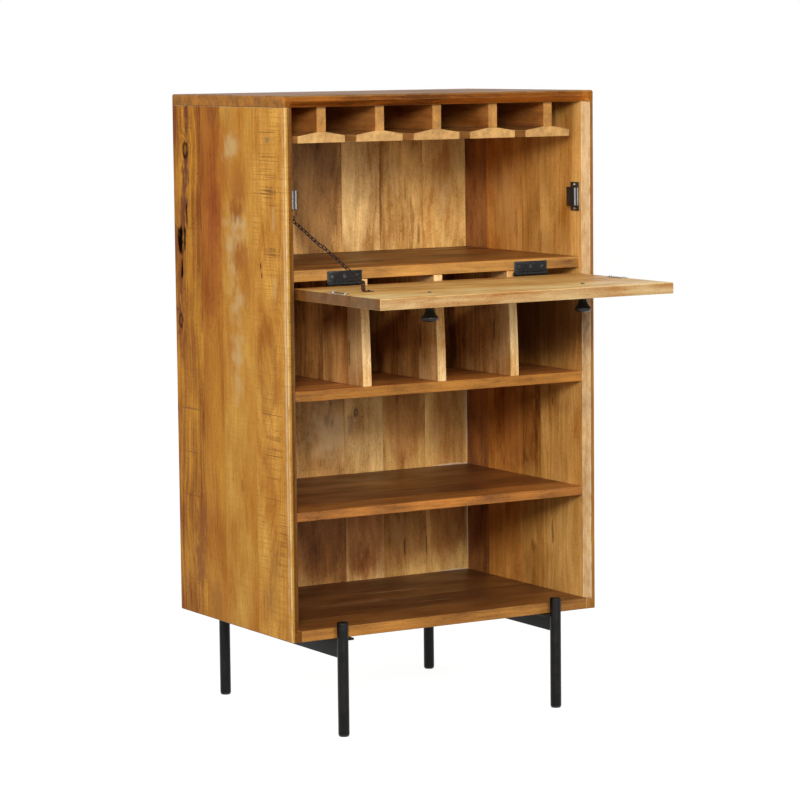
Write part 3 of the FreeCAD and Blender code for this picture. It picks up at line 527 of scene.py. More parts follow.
@dataclass(frozen=True)
class MangoBoard:
    """Mango wood in glued staves under clear satin lacquer, sawn, sanded and softened by use at the
    edges.

    The eye sees staves of different tone with a straight glue line between them, long dark
    streaks, broad growth rings that bend round knots, soft clouds, dark pores and saw marks. The
    pale edges are partly use and partly a painted highlight, and some faces and marks carry
    painted light and shade.
    """

    name: str
    grain: Axis
    across: Axis
    start: float
    staves: tuple[Stave, ...]
    marks: tuple[Mark, ...] = ()
    facings: tuple[Facing, ...] = ()
    end_shade: str = "#8a5a2c"
    end_cover: float = 0.5
    # The pale shade of the arrises, which is wear and a painted highlight, and how much of it
    # shows.
    wear_and_highlight: str = "#dcb98a"
    wear_and_highlight_cover: float = 0.55
    joint_line: float = 0.0
    contrast: float = 1.0
    blush: float = 0.35
    roughness: float = 0.42
    gloss: float = 0.16
    seed: float = 0.0

    def ground(self, node: Callable[..., Node]) -> Ground:
        """Measure the board and give each stave its tones and its own stretch of the patterns.

        Args:
            node: adds a node to the board's tree.

        Returns:
            What every pattern is laid on.
        """
        coords = node("TexCoord")
        place = node("VectorMath", {0: coords.outputs["Object"], 1: (1 / MM,) * 3},
                     operation="MULTIPLY")
        sides = node("SeparateXYZ", {0: place})
        through = next(axis for axis in Axis if axis not in (self.grain, self.across))
        across, along, deep = (
            sides.outputs[axis.value] for axis in (self.across, self.grain, through))
        board = node("CombineXYZ", {0: across, 1: along, 2: deep})
        grain_way = tuple(float(axis is self.grain) for axis in Axis)
        end_grain = node("VectorMath", {0: coords.outputs["Normal"], 1: grain_way},
                         operation="DOT_PRODUCT")
        end_grain = node("Math", {0: end_grain}, operation="ABSOLUTE")

        span = self.staves[-1].end - self.start
        starts = [0.0] + [(stave.end - self.start) / span for stave in self.staves[:-1]]
        share = node("MapRange", {0: across, 1: self.start, 2: self.staves[-1].end})
        light, dark = (
            node("ValToRGB", {0: share}, blend="CONSTANT",
                 stops=[(at, linear(getattr(stave, tone)))
                        for at, stave in zip(starts, self.staves)])
            for tone in ("light", "dark"))
        recipe = node("ValToRGB", {0: share}, blend="CONSTANT", stops=[
            (at, (stave.figure, stave.saw, stave.streak, (index * STAVE_STEP + self.seed) % 1))
            for index, (at, stave) in enumerate(zip(starts, self.staves))])
        amounts = node("SeparateColor", {0: recipe.outputs[0]})
        shift = node("VectorMath", {0: STAVE_SHIFT, "Scale": recipe.outputs["Alpha"]},
                     operation="SCALE")
        own = node("VectorMath", {0: board, 1: shift}, operation="ADD")

        noises = {}
        for name, (*periods, detail) in PATTERNS.items():
            if name == "cloud" and not any(mark.cloud for mark in self.marks):
                continue
            scaled = node("VectorMath", {0: board if name == "saw" else own,
                                         1: tuple(1 / period for period in periods)},
                          operation="MULTIPLY")
            noises[name] = node("TexNoise", {"Vector": scaled, "Scale": 1.0, "Detail": detail,
                                             "Distortion": FIGURE_WARP * (name == "figure")})
        return Ground(place, coords.outputs["Normal"], end_grain, across, along, deep, board,
                      shift, light, dark, *amounts.outputs[:3], noises)

    def mark_covers(self, node: Callable[..., Node], ground: Ground) -> tuple[Any, list[Node]]:
        """Find how much of each point every mark covers, and how far the marks bend the rings.

        Args:
            node: adds a node to the board's tree.
            ground: what the patterns are laid on.

        Returns:
            The bend in rings, which is 0 without marks, and the cover of each mark.
        """
        bend, covers = 0.0, []
        for mark in self.marks:
            wide, long = mark.half_width, mark.half_length
            away = node("VectorMath", {0: ground.board, 1: (1 / wide, 1 / long, 0),
                                       2: (-mark.across / wide, -mark.along / long, 0)},
                        operation="MULTIPLY_ADD")
            reach = node("VectorMath", {0: away}, operation="LENGTH")
            if mark.bend:
                push = node("MapRange", {0: reach, 1: BEND_REACH, 2: 0.0, 3: 0.0, 4: mark.bend},
                            interpolation_type="SMOOTHERSTEP")
                bend = node("Math", {0: bend, 1: push}, operation="ADD")
            lobes = ground.noises["cloud" if mark.cloud else "ragged"]
            edge = node("Math", {0: lobes, 1: mark.ragged * 2, 2: reach}, operation="MULTIPLY_ADD")
            outer = 1.0 + mark.ragged
            cover = node("MapRange", {0: edge, 1: outer, 2: outer - mark.soft, 3: 0.0,
                                      4: mark.cover}, interpolation_type="SMOOTHSTEP")
            limits = []
            if mark.bare:
                rim = mark.bare + mark.ragged
                limits.append(node("MapRange", {0: edge, 1: rim - RIM[0], 2: rim + RIM[1],
                                                3: BARE_COVER, 4: 1.0}))
            if mark.hatched:
                limits.append(node("MapRange", {0: ground.noises["saw"], 1: HATCH_EDGES[0],
                                                2: HATCH_EDGES[1]}))
            if mark.toward:
                limits.append(self.facing(node, ground, Facing(mark.toward, reach=MARK_REACH)))
            for limit in limits:
                cover = node("Math", {0: cover, 1: limit}, operation="MULTIPLY")
            covers.append(cover)
        return bend, covers

    def streaks(self, node: Callable[..., Node], ground: Ground, bend: Any) -> tuple[Node, Node]:
        """Draw the growth rings and the streaks that follow them round the knots.

        Args:
            node: adds a node to the board's tree.
            ground: what the patterns are laid on.
            bend: how many rings the marks push aside.

        Returns:
            The rings, from -0.5 to 0.5, and the streaks' noise.
        """
        phase = node("Math", {0: ground.across, 1: 1 / RING_WIDTH}, operation="MULTIPLY")
        phase = node("Math", {0: ground.noises["swirl"], 1: SWIRL_RINGS, 2: phase},
                     operation="MULTIPLY_ADD")
        phase = node("Math", {0: phase, 1: bend}, operation="ADD")
        turn = node("Math", {0: phase, 1: math.tau}, operation="MULTIPLY")
        wave = node("Math", {0: turn}, operation="SINE")
        rings = node("MapRange", {0: wave, 1: -1.0, 2: 1.0, 3: -0.5, 4: 0.5})
        bent = node("Math", {0: phase, 1: RING_WIDTH}, operation="MULTIPLY")
        lead = node("CombineXYZ", {0: bent, 1: ground.along, 2: ground.deep})
        lead = node("VectorMath", {0: lead, 1: ground.shift}, operation="ADD")
        lead = node("VectorMath", {0: lead, 1: tuple(1 / period for period in STREAK_PERIOD)},
                    operation="MULTIPLY")
        return rings, node("TexNoise", {"Vector": lead, "Scale": 1.0, "Detail": 4.0,
                                        "Roughness": 0.6})

    def tone(self, node: Callable[..., Node], ground: Ground, rings: Node, streaks: Node) -> Node:
        """Lay clouds, figure, streaks, rings, fibres and pores over each other.

        Args:
            node: adds a node to the board's tree.
            ground: what the patterns are laid on.
            rings: the growth rings.
            streaks: the streaks' noise.

        Returns:
            The tone, from 0 for dark to 1 for light.
        """
        tone = node("Math", {0: rings, 1: -RING_SWING, 2: MIDDLE_TONE}, operation="MULTIPLY_ADD")
        for noise, weight, amount in (
                (ground.noises["patch"], PATCH_SWING, None),
                (ground.noises["fibre"], FIBRE_SWING, None),
                (ground.noises["figure"], FIGURE_SWING, ground.figure),
                (streaks, STREAK_SWING, ground.streak)):
            swing = node("Math", {0: noise, 1: weight, 2: -weight / 2}, operation="MULTIPLY_ADD")
            if amount is not None:
                swing = node("Math", {0: swing, 1: amount}, operation="MULTIPLY")
            tone = node("Math", {0: tone, 1: swing}, operation="ADD")
        pores = node("MapRange", {0: ground.noises["pore"], 1: PORE_EDGES[0], 2: PORE_EDGES[1],
                                  3: 0.0, 4: PORE_DEPTH})
        tone = node("Math", {0: tone, 1: pores}, operation="SUBTRACT")
        half = 0.5 / self.contrast
        tone = node("MapRange", {0: tone, 1: MIDDLE_TONE - half, 2: MIDDLE_TONE + half},
                    clamp=False)
        return node("Clamp", {0: tone, 1: TONE_RANGE[0], 2: TONE_RANGE[1]})

    def facing(self, node: Callable[..., Node], ground: Ground, side: Facing) -> Node:
        """Find the faces that look one way.

        Args:
            node: adds a node to the board's tree.
            ground: what the patterns are laid on.
            side: the way they look.

        Returns:
            1 on those faces and 0 elsewhere.
        """
        toward = node("VectorMath", {0: ground.normal, 1: side.toward}, operation="DOT_PRODUCT")
        found = node("Math", {0: toward, 1: side.reach}, operation="GREATER_THAN")
        if side.beyond is None:
            return found
        inner = node("Math", {0: ground.deep, 1: side.beyond}, operation="GREATER_THAN")
        return node("Math", {0: found, 1: inner}, operation="MULTIPLY")

    def stained_and_shaded(self, node: Callable[..., Node], ground: Ground, colour: Node) -> Node:
        """Draw the glue lines, the stain and the painted light and shade on each side, and the
        speckled end grain.

        Args:
            node: adds a node to the board's tree.
            ground: what the patterns are laid on.
            colour: the wood's colour.

        Returns:
            The colour.
        """
        for stave in self.staves[:-1]:
            gap = node("Math", {0: ground.across, 1: stave.end, 2: GLUE_HALF},
                       operation="COMPARE")
            gap = node("Math", {0: gap, 1: GLUE_COVER}, operation="MULTIPLY")
            colour = node("Mix", {0: gap, 6: colour, 7: ground.dark}, data_type="RGBA")
        for side in self.facings:
            faces = self.facing(node, ground, side)
            colour = node("Mix", {0: faces, 6: colour, 7: (*side.gain, 1)}, data_type="RGBA",
                          blend_type="MULTIPLY")
        ends = node("MapRange", {0: ground.end_grain, 1: END_EDGES[0], 2: END_EDGES[1], 3: 0.0,
                                 4: self.end_cover})
        speck = node("TexNoise", {"Vector": ground.place, "Scale": 0.05, "Detail": 5.0,
                                  "Roughness": 0.65})
        speck = node("MapRange", {0: speck, 1: SPECK_EDGES[0], 2: SPECK_EDGES[1],
                                  3: SPECK_TONES[0], 4: SPECK_TONES[1]})
        end_tone = node("VectorMath", {0: linear(self.end_shade)[:3], "Scale": speck},
                        operation="SCALE")
        return node("Mix", {0: ends, 6: colour, 7: end_tone}, data_type="RGBA")

    def worn_and_highlit(self, node: Callable[..., Node], ground: Ground, colour: Node) -> Node:
        """Pale the arrises, as hands and cloths do and as a painted highlight, and darken the
        grooves where boards meet.

        Args:
            node: adds a node to the board's tree.
            ground: what the patterns are laid on.
            colour: the wood's colour.

        Returns:
            The colour.
        """
        arris = edge_wear_and_highlight = node("Attribute", attribute_name="arris").outputs["Fac"]
        for side in self.facings:
            if side.worn_and_highlit:
                edge_wear_and_highlight = node("Math", {0: self.facing(node, ground, side), 1: side.worn_and_highlit, 2: edge_wear_and_highlight},
                              operation="MULTIPLY_ADD", use_clamp=True)
        joint = node("Math", {0: ground.end_grain, 1: 0.5}, operation="GREATER_THAN")
        edge_wear_and_highlight = node("Math", {0: edge_wear_and_highlight, 1: joint}, operation="SUBTRACT", use_clamp=True)
        line = node("Math", {0: arris, 1: joint}, operation="MULTIPLY")
        line = node("Math", {0: line, 1: self.joint_line}, operation="MULTIPLY")
        colour = node("Mix", {0: line, 6: colour, 7: linear(JOINT_SHADE)}, data_type="RGBA")
        bare = node("MapRange", {0: ground.noises["ragged"], 1: WEAR_AND_HIGHLIGHT_EDGES[0], 2: WEAR_AND_HIGHLIGHT_EDGES[1],
                                 3: LEAST_WEAR_AND_HIGHLIGHT * self.wear_and_highlight_cover, 4: self.wear_and_highlight_cover})
        bare = node("Math", {0: bare, 1: edge_wear_and_highlight}, operation="MULTIPLY")
        return node("Mix", {0: bare, 6: colour, 7: linear(self.wear_and_highlight)}, data_type="RGBA")

    def make(self) -> Material:
        """Build the finish.

        Returns:
            The material.
        """
        material = bpy.data.materials.new(self.name)
        node = blank(material)
        ground = self.ground(node)
        bend, covers = self.mark_covers(node, ground)
        rings, streaks = self.streaks(node, ground, bend)
        tone = self.tone(node, ground, rings, streaks)
        colour = node("Mix", {0: tone, 6: ground.dark, 7: ground.light}, data_type="RGBA",
                      clamp_factor=False)
        blush = node("MapRange", {0: ground.noises["swirl"], 1: BLUSH_EDGES[0],
                                  2: BLUSH_EDGES[1], 3: 0.0, 4: self.blush})
        colour = node("Mix", {0: blush, 6: colour, 7: BLUSH_TINT}, data_type="RGBA",
                      blend_type="MULTIPLY")

        # Saw marks are thin darker lines across the grain, in patches.
        lines = node("MapRange", {0: ground.noises["saw"], 1: SAW_EDGES[0], 2: SAW_EDGES[1]})
        patches = node("MapRange", {0: ground.noises["patch"], 1: SAW_PATCHES[0],
                                    2: SAW_PATCHES[1]})
        sawn = node("Math", {0: lines, 1: patches}, operation="MULTIPLY")
        hollow = sawn = node("Math", {0: sawn, 1: ground.saw}, operation="MULTIPLY")
        colour = node("Mix", {0: sawn, 6: colour, 7: SAW_TINT}, data_type="RGBA",
                      blend_type="MULTIPLY")
        for mark, cover in zip(self.marks, covers):
            colour = node("Mix", {0: cover, 6: colour, 7: linear(mark.shade)}, data_type="RGBA",
                          blend_type="MULTIPLY" if mark.glaze else "MIX")
            if mark.sunk:
                hollow = node("Math", {0: hollow, 1: cover}, operation="MAXIMUM")
        colour = self.worn_and_highlit(node, ground, self.stained_and_shaded(node, ground, colour))

        rough = node("MapRange", {0: ground.noises["patch"], 1: 0.3, 2: 0.7,
                                  3: self.roughness + DULL, 4: self.roughness + SHINY})
        height = node("Math", {0: ground.noises["fibre"], 1: FIBRE_HEIGHT, 2: streaks},
                      operation="MULTIPLY_ADD")
        height = node("Math", {0: hollow, 1: -HOLLOW_DEPTH, 2: height}, operation="MULTIPLY_ADD")
        relief = node("Bump", {"Height": height, "Distance": RELIEF_DEPTH * MM,
                               "Strength": RELIEF_STRENGTH})
        gloss = node("MapRange", {0: hollow, 1: 0.2, 2: 0.8, 3: self.gloss, 4: 0.0})
        surface = node("BsdfPrincipled", {"Base Color": colour, "Roughness": rough,
                                          "Normal": relief, "Specular IOR Level": gloss})
        node("OutputMaterial", {0: surface})
        return material


@dataclass(frozen=True)
class Coating:
    """A metal, paint or plastic surface with soft patches and a fine grain.

    Its patches of a second shade are as wide as patch_size, its grain as grain_size, in mm. An
    edge shade, when given, shows on its arrises as wear through the finish and as a painted
    highlight.
    """

    name: str
    shade: str
    patch_shade: str
    patch_size: float
    patch_cover: float
    roughness: tuple[float, float]
    grain_size: float
    grain_depth: float
    metallic: float = 0.0
    gloss: float = 0.5
    edge_wear_and_highlight: str = ""

    def make(self) -> Material:
        """Build the finish.

        Returns:
            The material.
        """
        material = bpy.data.materials.new(self.name)
        node = blank(material)
        coords = node("TexCoord").outputs["Object"]
        patches = node("TexNoise", {"Vector": coords, "Scale": 1 / (self.patch_size * MM),
                                    "Detail": 4.0, "Roughness": 0.6})
        cover = node("MapRange", {0: patches, 1: 0.45, 2: 0.68, 3: 0.0, 4: self.patch_cover})
        colour = node("Mix", {0: cover, 6: linear(self.shade), 7: linear(self.patch_shade)},
                      data_type="RGBA")
        grain = node("TexNoise", {"Vector": coords, "Scale": 1 / (self.grain_size * MM),
                                  "Detail": 2.0})
        if self.edge_wear_and_highlight:
            arris = node("Attribute", attribute_name="arris").outputs["Fac"]
            bare = node("MapRange", {0: grain, 1: 0.45, 2: 0.6, 3: 0.1, 4: 0.8})
            bare = node("Math", {0: bare, 1: arris}, operation="MULTIPLY")
            colour = node("Mix", {0: bare, 6: colour, 7: linear(self.edge_wear_and_highlight)}, data_type="RGBA")
        rough = node("MapRange", {0: patches, 1: 0.35, 2: 0.65, 3: self.roughness[0],
                                  4: self.roughness[1]})
        relief = node("Bump", {"Height": grain, "Distance": self.grain_depth * MM,
                               "Strength": 0.7})
        surface = node("BsdfPrincipled", {
            "Base Color": colour, "Roughness": rough, "Metallic": self.metallic,
            "Normal": relief, "Specular IOR Level": self.gloss})
        node("OutputMaterial", {0: surface})
        return material


# Rolled steel bar under a thin black powder coat: satin, with a soft highlight and dull patches.
BAR_STEEL = Coating(
    "powder_coated_steel_bar", "#090807", "#161310", 22, 0.7, (0.26, 0.42), 1.6, 0.06, gloss=0.17)
# Pressed hinge steel dipped in black enamel: shiny, and grey on its edges.
HINGE_STEEL = Coating(
    "enamelled_hinge_steel", "#08090a", "#15191b", 3, 0.8, (0.20, 0.42), 1.6, 0.15, gloss=0.3,
    edge_wear_and_highlight="#7d8284")
# Turned knob with a black lacquer: a glossy coat over a smooth body.
KNOB_LACQUER = Coating(
    "lacquered_turned_knob", "#0b0b0a", "#161513", 9, 0.6, (0.28, 0.40), 2.0, 0.04, gloss=0.3)
# Blackened steel screws: oil-black, with grey patches painted as highlights on their heads.
BLACK_SCREW = Coating(
    "blackened_screw_steel", "#2a2d2f", "#6a6e71", 1.6, 0.8, (0.28, 0.45), 0.8, 0.03, metallic=0.6)
# Zinc-plated screws: pale grey metal with a cloudy plating.
BRIGHT_SCREW = Coating(
    "zinc_plated_screw", "#b9babb", "#8d8f92", 2.5, 0.6, (0.28, 0.42), 0.8, 0.02, metallic=1.0)
# Moulded ABS of the catch housings: brown-black and finely pitted.
CATCH_PLASTIC = Coating(
    "moulded_abs_housing", "#1d1815", "#2e2723", 5, 0.7, (0.36, 0.5), 0.9, 0.04, edge_wear_and_highlight="#3d3631")
# Zinc-plated pole plates: cloudy silver sheet.
POLE_ZINC = Coating(
    "zinc_plated_sheet", "#c9cacb", "#9b9da0", 4, 0.6, (0.25, 0.42), 1.0, 0.02, metallic=1.0)
# Nickel-plated strike plates: bright sheet, darkened and dark-patched as a painted dark reflection.
STRIKE_NICKEL = Coating(
    "nickel_plated_sheet", "#9c968d", "#4f4a45", 5, 0.8, (0.20, 0.38), 1.2, 0.02, metallic=1.0)
# Sintered ferrite: dull charcoal ceramic.
FERRITE = Coating("sintered_ferrite", "#2b2b2d", "#3a3a3c", 3, 0.6, (0.55, 0.7), 0.6, 0.03)
# Bronzed chain steel gone rusty: red-brown, with paler patches painted as glints on the links.
CHAIN_BRONZE = Coating(
    "bronzed_rusty_steel", "#150a05", "#3a2c22", 2.2, 0.4, (0.35, 0.55), 0.9, 0.06, gloss=0.2)
# Bent anchor strap of the chain: rust-brown lacquer, pale on its edges as bare metal and as a
# painted highlight.
ANCHOR_BRONZE = Coating(
    "lacquered_anchor_strap", "#3a2011", "#5c3a22", 4, 0.7, (0.30, 0.5), 1.2, 0.06,
    metallic=0.2, gloss=0.3, edge_wear_and_highlight="#a58a6c")
# Injection-moulded feet: matt black polythene.
FOOT_PLASTIC = Coating(
    "moulded_polythene_foot", "#161616", "#232323", 6, 0.6, (0.5, 0.65), 1.0, 0.05)
# Tenons of raw hardwood, hidden in their joints.
RAW_WOOD = MangoBoard("raw_hardwood_tenon", Axis.X, Axis.Y, -120,
                      (Stave(400, "#c9a06c", "#a97c48"),), roughness=0.7)

KNOT = "#20120a"
BARK = "#120a06"
HEART = "#6c3007"
PALE = "#cba66e"
SAW_LINE = "#6b3f1c"


# ---- Boards -------------------------------------------------------------------------------------
@dataclass
class Worn:
    """One piece that keeps its CAD shape and is worn along its long edges, as a board by default.

    Args:
        node: its CAD node.
        slot: the record's slot; not used.
        arris: width of its worn edges in mm.
        shortest: edges shorter than this stay sharp, in mm.
        steps: faces across a worn edge.
    """

    node: str
    slot: str
    arris: float = 0.8
    shortest: float = 15.0
    steps: int = 1

    def build(self, finish: Material) -> None:
        """Make the piece and dress it."""
        piece = worn_copy(self.node, self.arris, self.shortest, self.steps)
        fit(piece, finish, [self.node])


@dataclass
class Carcass:
    """The two sides, top, bottom and back."""

    left: MangoBoard = MangoBoard(
        "mango_left_side", Axis.Z, Axis.Y, -92, (
            Stave(38, "#dba145", "#ae6f24", 0.16, 0.42, 0.12),
            Stave(170, "#cd963c", "#b37221", 0.20, 0.15, 0.12),
            Stave(252, "#c68624", "#a36113", 0.14, 0.10, 0.26),
            Stave(374, "#ca8920", "#8c4d0a", 0.14, 0.20, 0.42)),
        marks=(
            # Rear stave: heart streak, ring knot, bark pocket, lower knot and red patch.
            *marks((311, 1190, 15, 60, HEART, 0.95, 0.8), (316, 1085, 16, 70, HEART, 0.95, 0.8),
                (324, 1035, 17, 80, HEART, 0.9, 0.9), (334, 985, 18, 80, HEART, 0.9, 0.9),
                (346, 870, 15, 90, HEART, 0.75, 0.9),
                (351, 780, 17, 80, HEART, 0.7, 0.9), soft=0.8),
            Mark(362, 1040, 8, 190, "#8a5a26", 0.45, 0.9, soft=1.0),
            Mark(318, 1121, 15, 22, BARK, 1.0, 0.3, 2.2, bare=0.5, sunk=True),
            *marks((345, 938, 16, 36, BARK, 1.0, 0.6, 1.6), (326, 945, 5.5, 28, BARK, 1.0, 0.6),
                (316, 990, 4.5, 28, BARK, 1.0, 0.6),
                (340, 882, 5.5, 28, BARK, 1.0, 0.6), sunk=True),
            Mark(349, 779, 12, 20, KNOT, 0.95, 0.4, 1.4, bare=0.5, sunk=True),
            *marks((276, 375, 30, 80, "#8c4f0c", 0.9, 1.0),
                (281, 295, 32, 80, "#8c4f0c", 0.9, 1.0), soft=0.9),
            Mark(272, 500, 2.4, 190, "#6b3f18", 0.45, 1.0),
            # Second stave: red heartwood above, golden below, an arch at the foot.
            Mark(211, 1010, 70, 330, "#e8d0ae", 1.0, 0.3, soft=0.5, glaze=True),
            Mark(205, 1000, 40, 150, "#e2b684", 0.8, 0.7, soft=1.0, glaze=True),
            Mark(200, 1190, 30, 30, "#6b3c18", 0.45, 1.0, soft=0.9),
            Mark(212, 230, 24, 60, "#8a5a22", 0.35, 0.6, 2.6),
            # Third stave: pale clouds and warm swirls.
            *marks((121, 1134, 44, 34, PALE, 0.8, 0.9),
                (140, 1118, 30, 26, PALE, 0.7, 1.0), soft=1.0, cloud=True),
            Mark(117, 962, 66, 56, PALE, 0.8, 1.2, soft=1.2, cloud=True),
            Mark(96, 985, 46, 26, PALE, 0.7, 1.2, soft=1.1, cloud=True),
            *marks((126, 890, 26, 70, PALE, 0.65, 1.2), (105, 826, 44, 54, PALE, 0.75, 1.2),
                (110, 741, 38, 56, PALE, 0.75, 1.2), soft=1.2, cloud=True),
            Mark(112, 672, 30, 60, PALE, 0.55, 1.2, soft=1.1, cloud=True),
            *marks((100, 1006, 38, 30, "#8e4f18", 0.8, 0.8, 1.4),
                (98, 1050, 40, 60, "#9b5c22", 0.75, 0.8),
                (88, 918, 50, 44, "#9c5a1c", 0.75, 0.9, 1.2),
                (70, 850, 26, 60, "#a5651f", 0.6, 0.9), soft=0.9),
            *marks((110, 1078, 80, 44, "#b07028", 0.7, 0.9),
                (140, 1190, 30, 40, "#a4702f", 0.5, 0.9), soft=1.0),
            Mark(98, 470, 12, 16, "#8a5520", 0.4, 0.9, 1.0),
            # A pale stripe just behind the front arris: wear and a painted highlight.
            Mark(-84, 700, 5, 640, "#e2cda8", 0.55, 0.6, soft=0.8),
            # Front stave: an arch, pale lights, slits, a grey spot and lines left by the saw.
            Mark(-13, 705, 40, 110, "#8d5418", 0.75, 0.4, 3.0, bare=0.72, soft=0.35),
            Mark(-16, 560, 30, 120, "#b06f2a", 0.4, 0.9, 2.0, soft=0.9),
            *marks((-42, 994, 14, 40, PALE, 0.45, 0.8),
                (-44, 859, 12, 50, PALE, 0.45, 0.8), soft=0.9, cloud=True),
            *marks((10, 906, 3.4, 9, KNOT, 0.85, 0.4),
                (7, 888, 3.0, 8, KNOT, 0.85, 0.4), sunk=True),
            Mark(-23, 1147, 10, 9, "#6f6a52", 0.6, 0.5, soft=0.8),
            *marks((-25, 1046, 52, 16, "#4a2a12", 0.75, 0.9),
                (-32, 931, 40, 17, "#5a3516", 0.6, 0.9), hatched=True, soft=0.8),
            *marks((-24, 1085, 54, 26, "#8b5a26", 0.6, 0.8),
                (-22, 560, 56, 60, "#8b5a26", 0.4, 0.8),
                (-60, 380, 30, 90, "#7d4a1e", 0.6, 0.8), hatched=True, soft=0.9),
            *marks((-30, 330, 40, 70, "#8d6431", 0.35, 0.9),
                (-10, 260, 30, 50, "#7c5b33", 0.35, 0.9), soft=1.0),
            *marks((312, 605, 58, 1.5, SAW_LINE, 0.7, 0.4),
                (312, 517, 52, 1.4, SAW_LINE, 0.6, 0.4), (312, 430, 56, 1.4, SAW_LINE, 0.6, 0.4),
                (303, 1164, 26, 1.4, SAW_LINE, 0.7, 0.4), (290, 966, 34, 1.4, SAW_LINE, 0.5, 0.4),
                (-22, 1161, 52, 1.3, SAW_LINE, 0.6, 0.4), (-24, 1115, 50, 1.3, SAW_LINE, 0.5, 0.4),
                (-27, 1107, 48, 1.2, SAW_LINE, 0.45, 0.4),
                (-39, 1023, 34, 1.3, SAW_LINE, 0.5, 0.4), (-24, 623, 54, 1.4, SAW_LINE, 0.65, 0.4),
                (-28, 544, 50, 1.4, SAW_LINE, 0.6, 0.4), (-22, 500, 46, 1.3, SAW_LINE, 0.5, 0.4),
                (-24, 460, 50, 1.2, SAW_LINE, 0.4, 0.4))),
        # The inner front bevel and the strip of the front beside it are darkened as painted shade,
        # and the outer front arris is paled as wear and a painted highlight.
        facings=(Facing(FRONT, (0.70, 0.80, 0.90)),
                 Facing(FRONT, (0.42, 0.29, 0.22), beyond=-343.5),
                 Facing(FRONT_RIGHT, (0.36, 0.29, 0.24), reach=0.84),
                 Facing(FRONT_LEFT, (0.80, 0.82, 0.90), 0.7, reach=0.9),
                 Facing(RIGHT, worn_and_highlit=-1.0, reach=0.3)),
        wear_and_highlight="#cfb78e", wear_and_highlight_cover=0.8, joint_line=0.9, contrast=1.35, blush=0.15, gloss=0.07,
        seed=0.11)
    right: MangoBoard = MangoBoard(
        "mango_right_side", Axis.Z, Axis.Y, -92, (
            Stave(71, "#f0b968", "#b37832", 0.18, 0.05, 0.36),
            Stave(137, "#e4a755", "#a46a2b", 0.20, 0.05, 0.32),
            Stave(208, "#f4b15d", "#bc752d", 0.24, 0.0, 0.22),
            Stave(272, "#f1ab51", "#b06726", 0.24, 0.0, 0.22),
            Stave(374, "#cd8849", "#6d4026", 0.26, 0.0, 0.28)),
        marks=(
            *marks((137, 560, 2.4, 150, "#3a1d0e", 0.7, 0.8),
                (30, 330, 5, 30, "#6b3010", 0.6, 0.7, 1.2)),
            *marks((132, 470, 18, 26, "#5e3414", 0.5, 1.0),
                (100, 290, 16, 22, "#5e3414", 0.5, 1.0), soft=0.9),
            *marks((28, 600, 3, 10, KNOT, 0.5, 0.6), (160, 950, 7, 60, "#6b3a18", 0.4, 0.9),
                (70, 925, 10, 26, "#8a5220", 0.4, 0.9)),
            # Painted light and shade on the inner face: a pale cloud lightens the upper bay, and
            # tints darken the bottle bay under the flap and the middle bay under the bottle shelf.
            Mark(200, 1010, 90, 150, "#f0c27c", 0.3, 0.4, soft=1.0, cloud=True),
            Mark(150, 775, 320, 115, "#a89caa", 0.9, 0.1, soft=0.35, glaze=True, toward=LEFT),
            Mark(160, 545, 118, 130, "#cdb4a4", 0.9, 0.3, soft=0.5, glaze=True, toward=LEFT),
            *marks((90, 560, 16, 110, "#a88a78", 0.7, 0.9),
                (20, 600, 110, 50, "#c4b0a4", 0.6, 0.6), soft=1.0, glaze=True, toward=LEFT)),
        # The front bevel is paled as wear and as a painted reflection.
        facings=(Facing(FRONT, (0.40, 0.32, 0.20)),
                 Facing(FRONT_LEFT, (0.66, 0.72, 0.88), 0.35, reach=0.84)),
        wear_and_highlight="#d9c7a8", wear_and_highlight_cover=0.75, joint_line=0.9, contrast=1.0, seed=0.53)
    top: MangoBoard = MangoBoard(
        "mango_top", Axis.X, Axis.Y, -92, staves(
            (-17, "#966228", "#573414"), (84, "#9c6a2d", "#643b17"), (162, "#a07033", "#6c4219"),
            (242, "#966328", "#623815"),
            (374, "#9b682c", "#683e16"), figure=0.20, saw=0.1, streak=0.6),
        marks=(Mark(-92, 330, 40, 9, "#c08a4a", 0.3, 0.9),),
        # The lower front bevel, which faces down, is darkened, partly as painted shade, and the
        # upper front arris is paled as wear and a painted highlight.
        facings=(Facing(FRONT, (0.98, 0.76, 0.42)),
                 Facing(FRONT_DOWN, (1.25, 0.86, 0.45), reach=0.84),
                 Facing(FRONT_UP, worn_and_highlit=0.35, reach=0.8)),
        end_shade="#ad702a", end_cover=0.7, wear_and_highlight="#c9a068", wear_and_highlight_cover=0.5, joint_line=0.9,
        gloss=0.08, seed=0.3)
    bottom: MangoBoard = MangoBoard(
        "mango_bottom", Axis.X, Axis.Y, -92, staves(
            (12, "#95602f", "#5e3718"), (120, "#7c4c26", "#4c2c17"), (235, "#8a572b", "#543218"),
            (356, "#7c4c26", "#482a17")),
        marks=(Mark(120, -60, 16, 150, "#b08a5c", 0.35, 1.2, soft=0.8),
               Mark(200, 60, 8, 90, "#c29a6a", 0.4, 1.2),
               Mark(60, 60, 5, 60, "#b08a5c", 0.35, 1.2)),
        # The front edge is lightened, partly its own paler long grain and partly painted light.
        facings=(Facing(FRONT, (1.55, 1.75, 1.45)),), wear_and_highlight="#b98a55", wear_and_highlight_cover=0.4, contrast=0.8,
        seed=0.71)
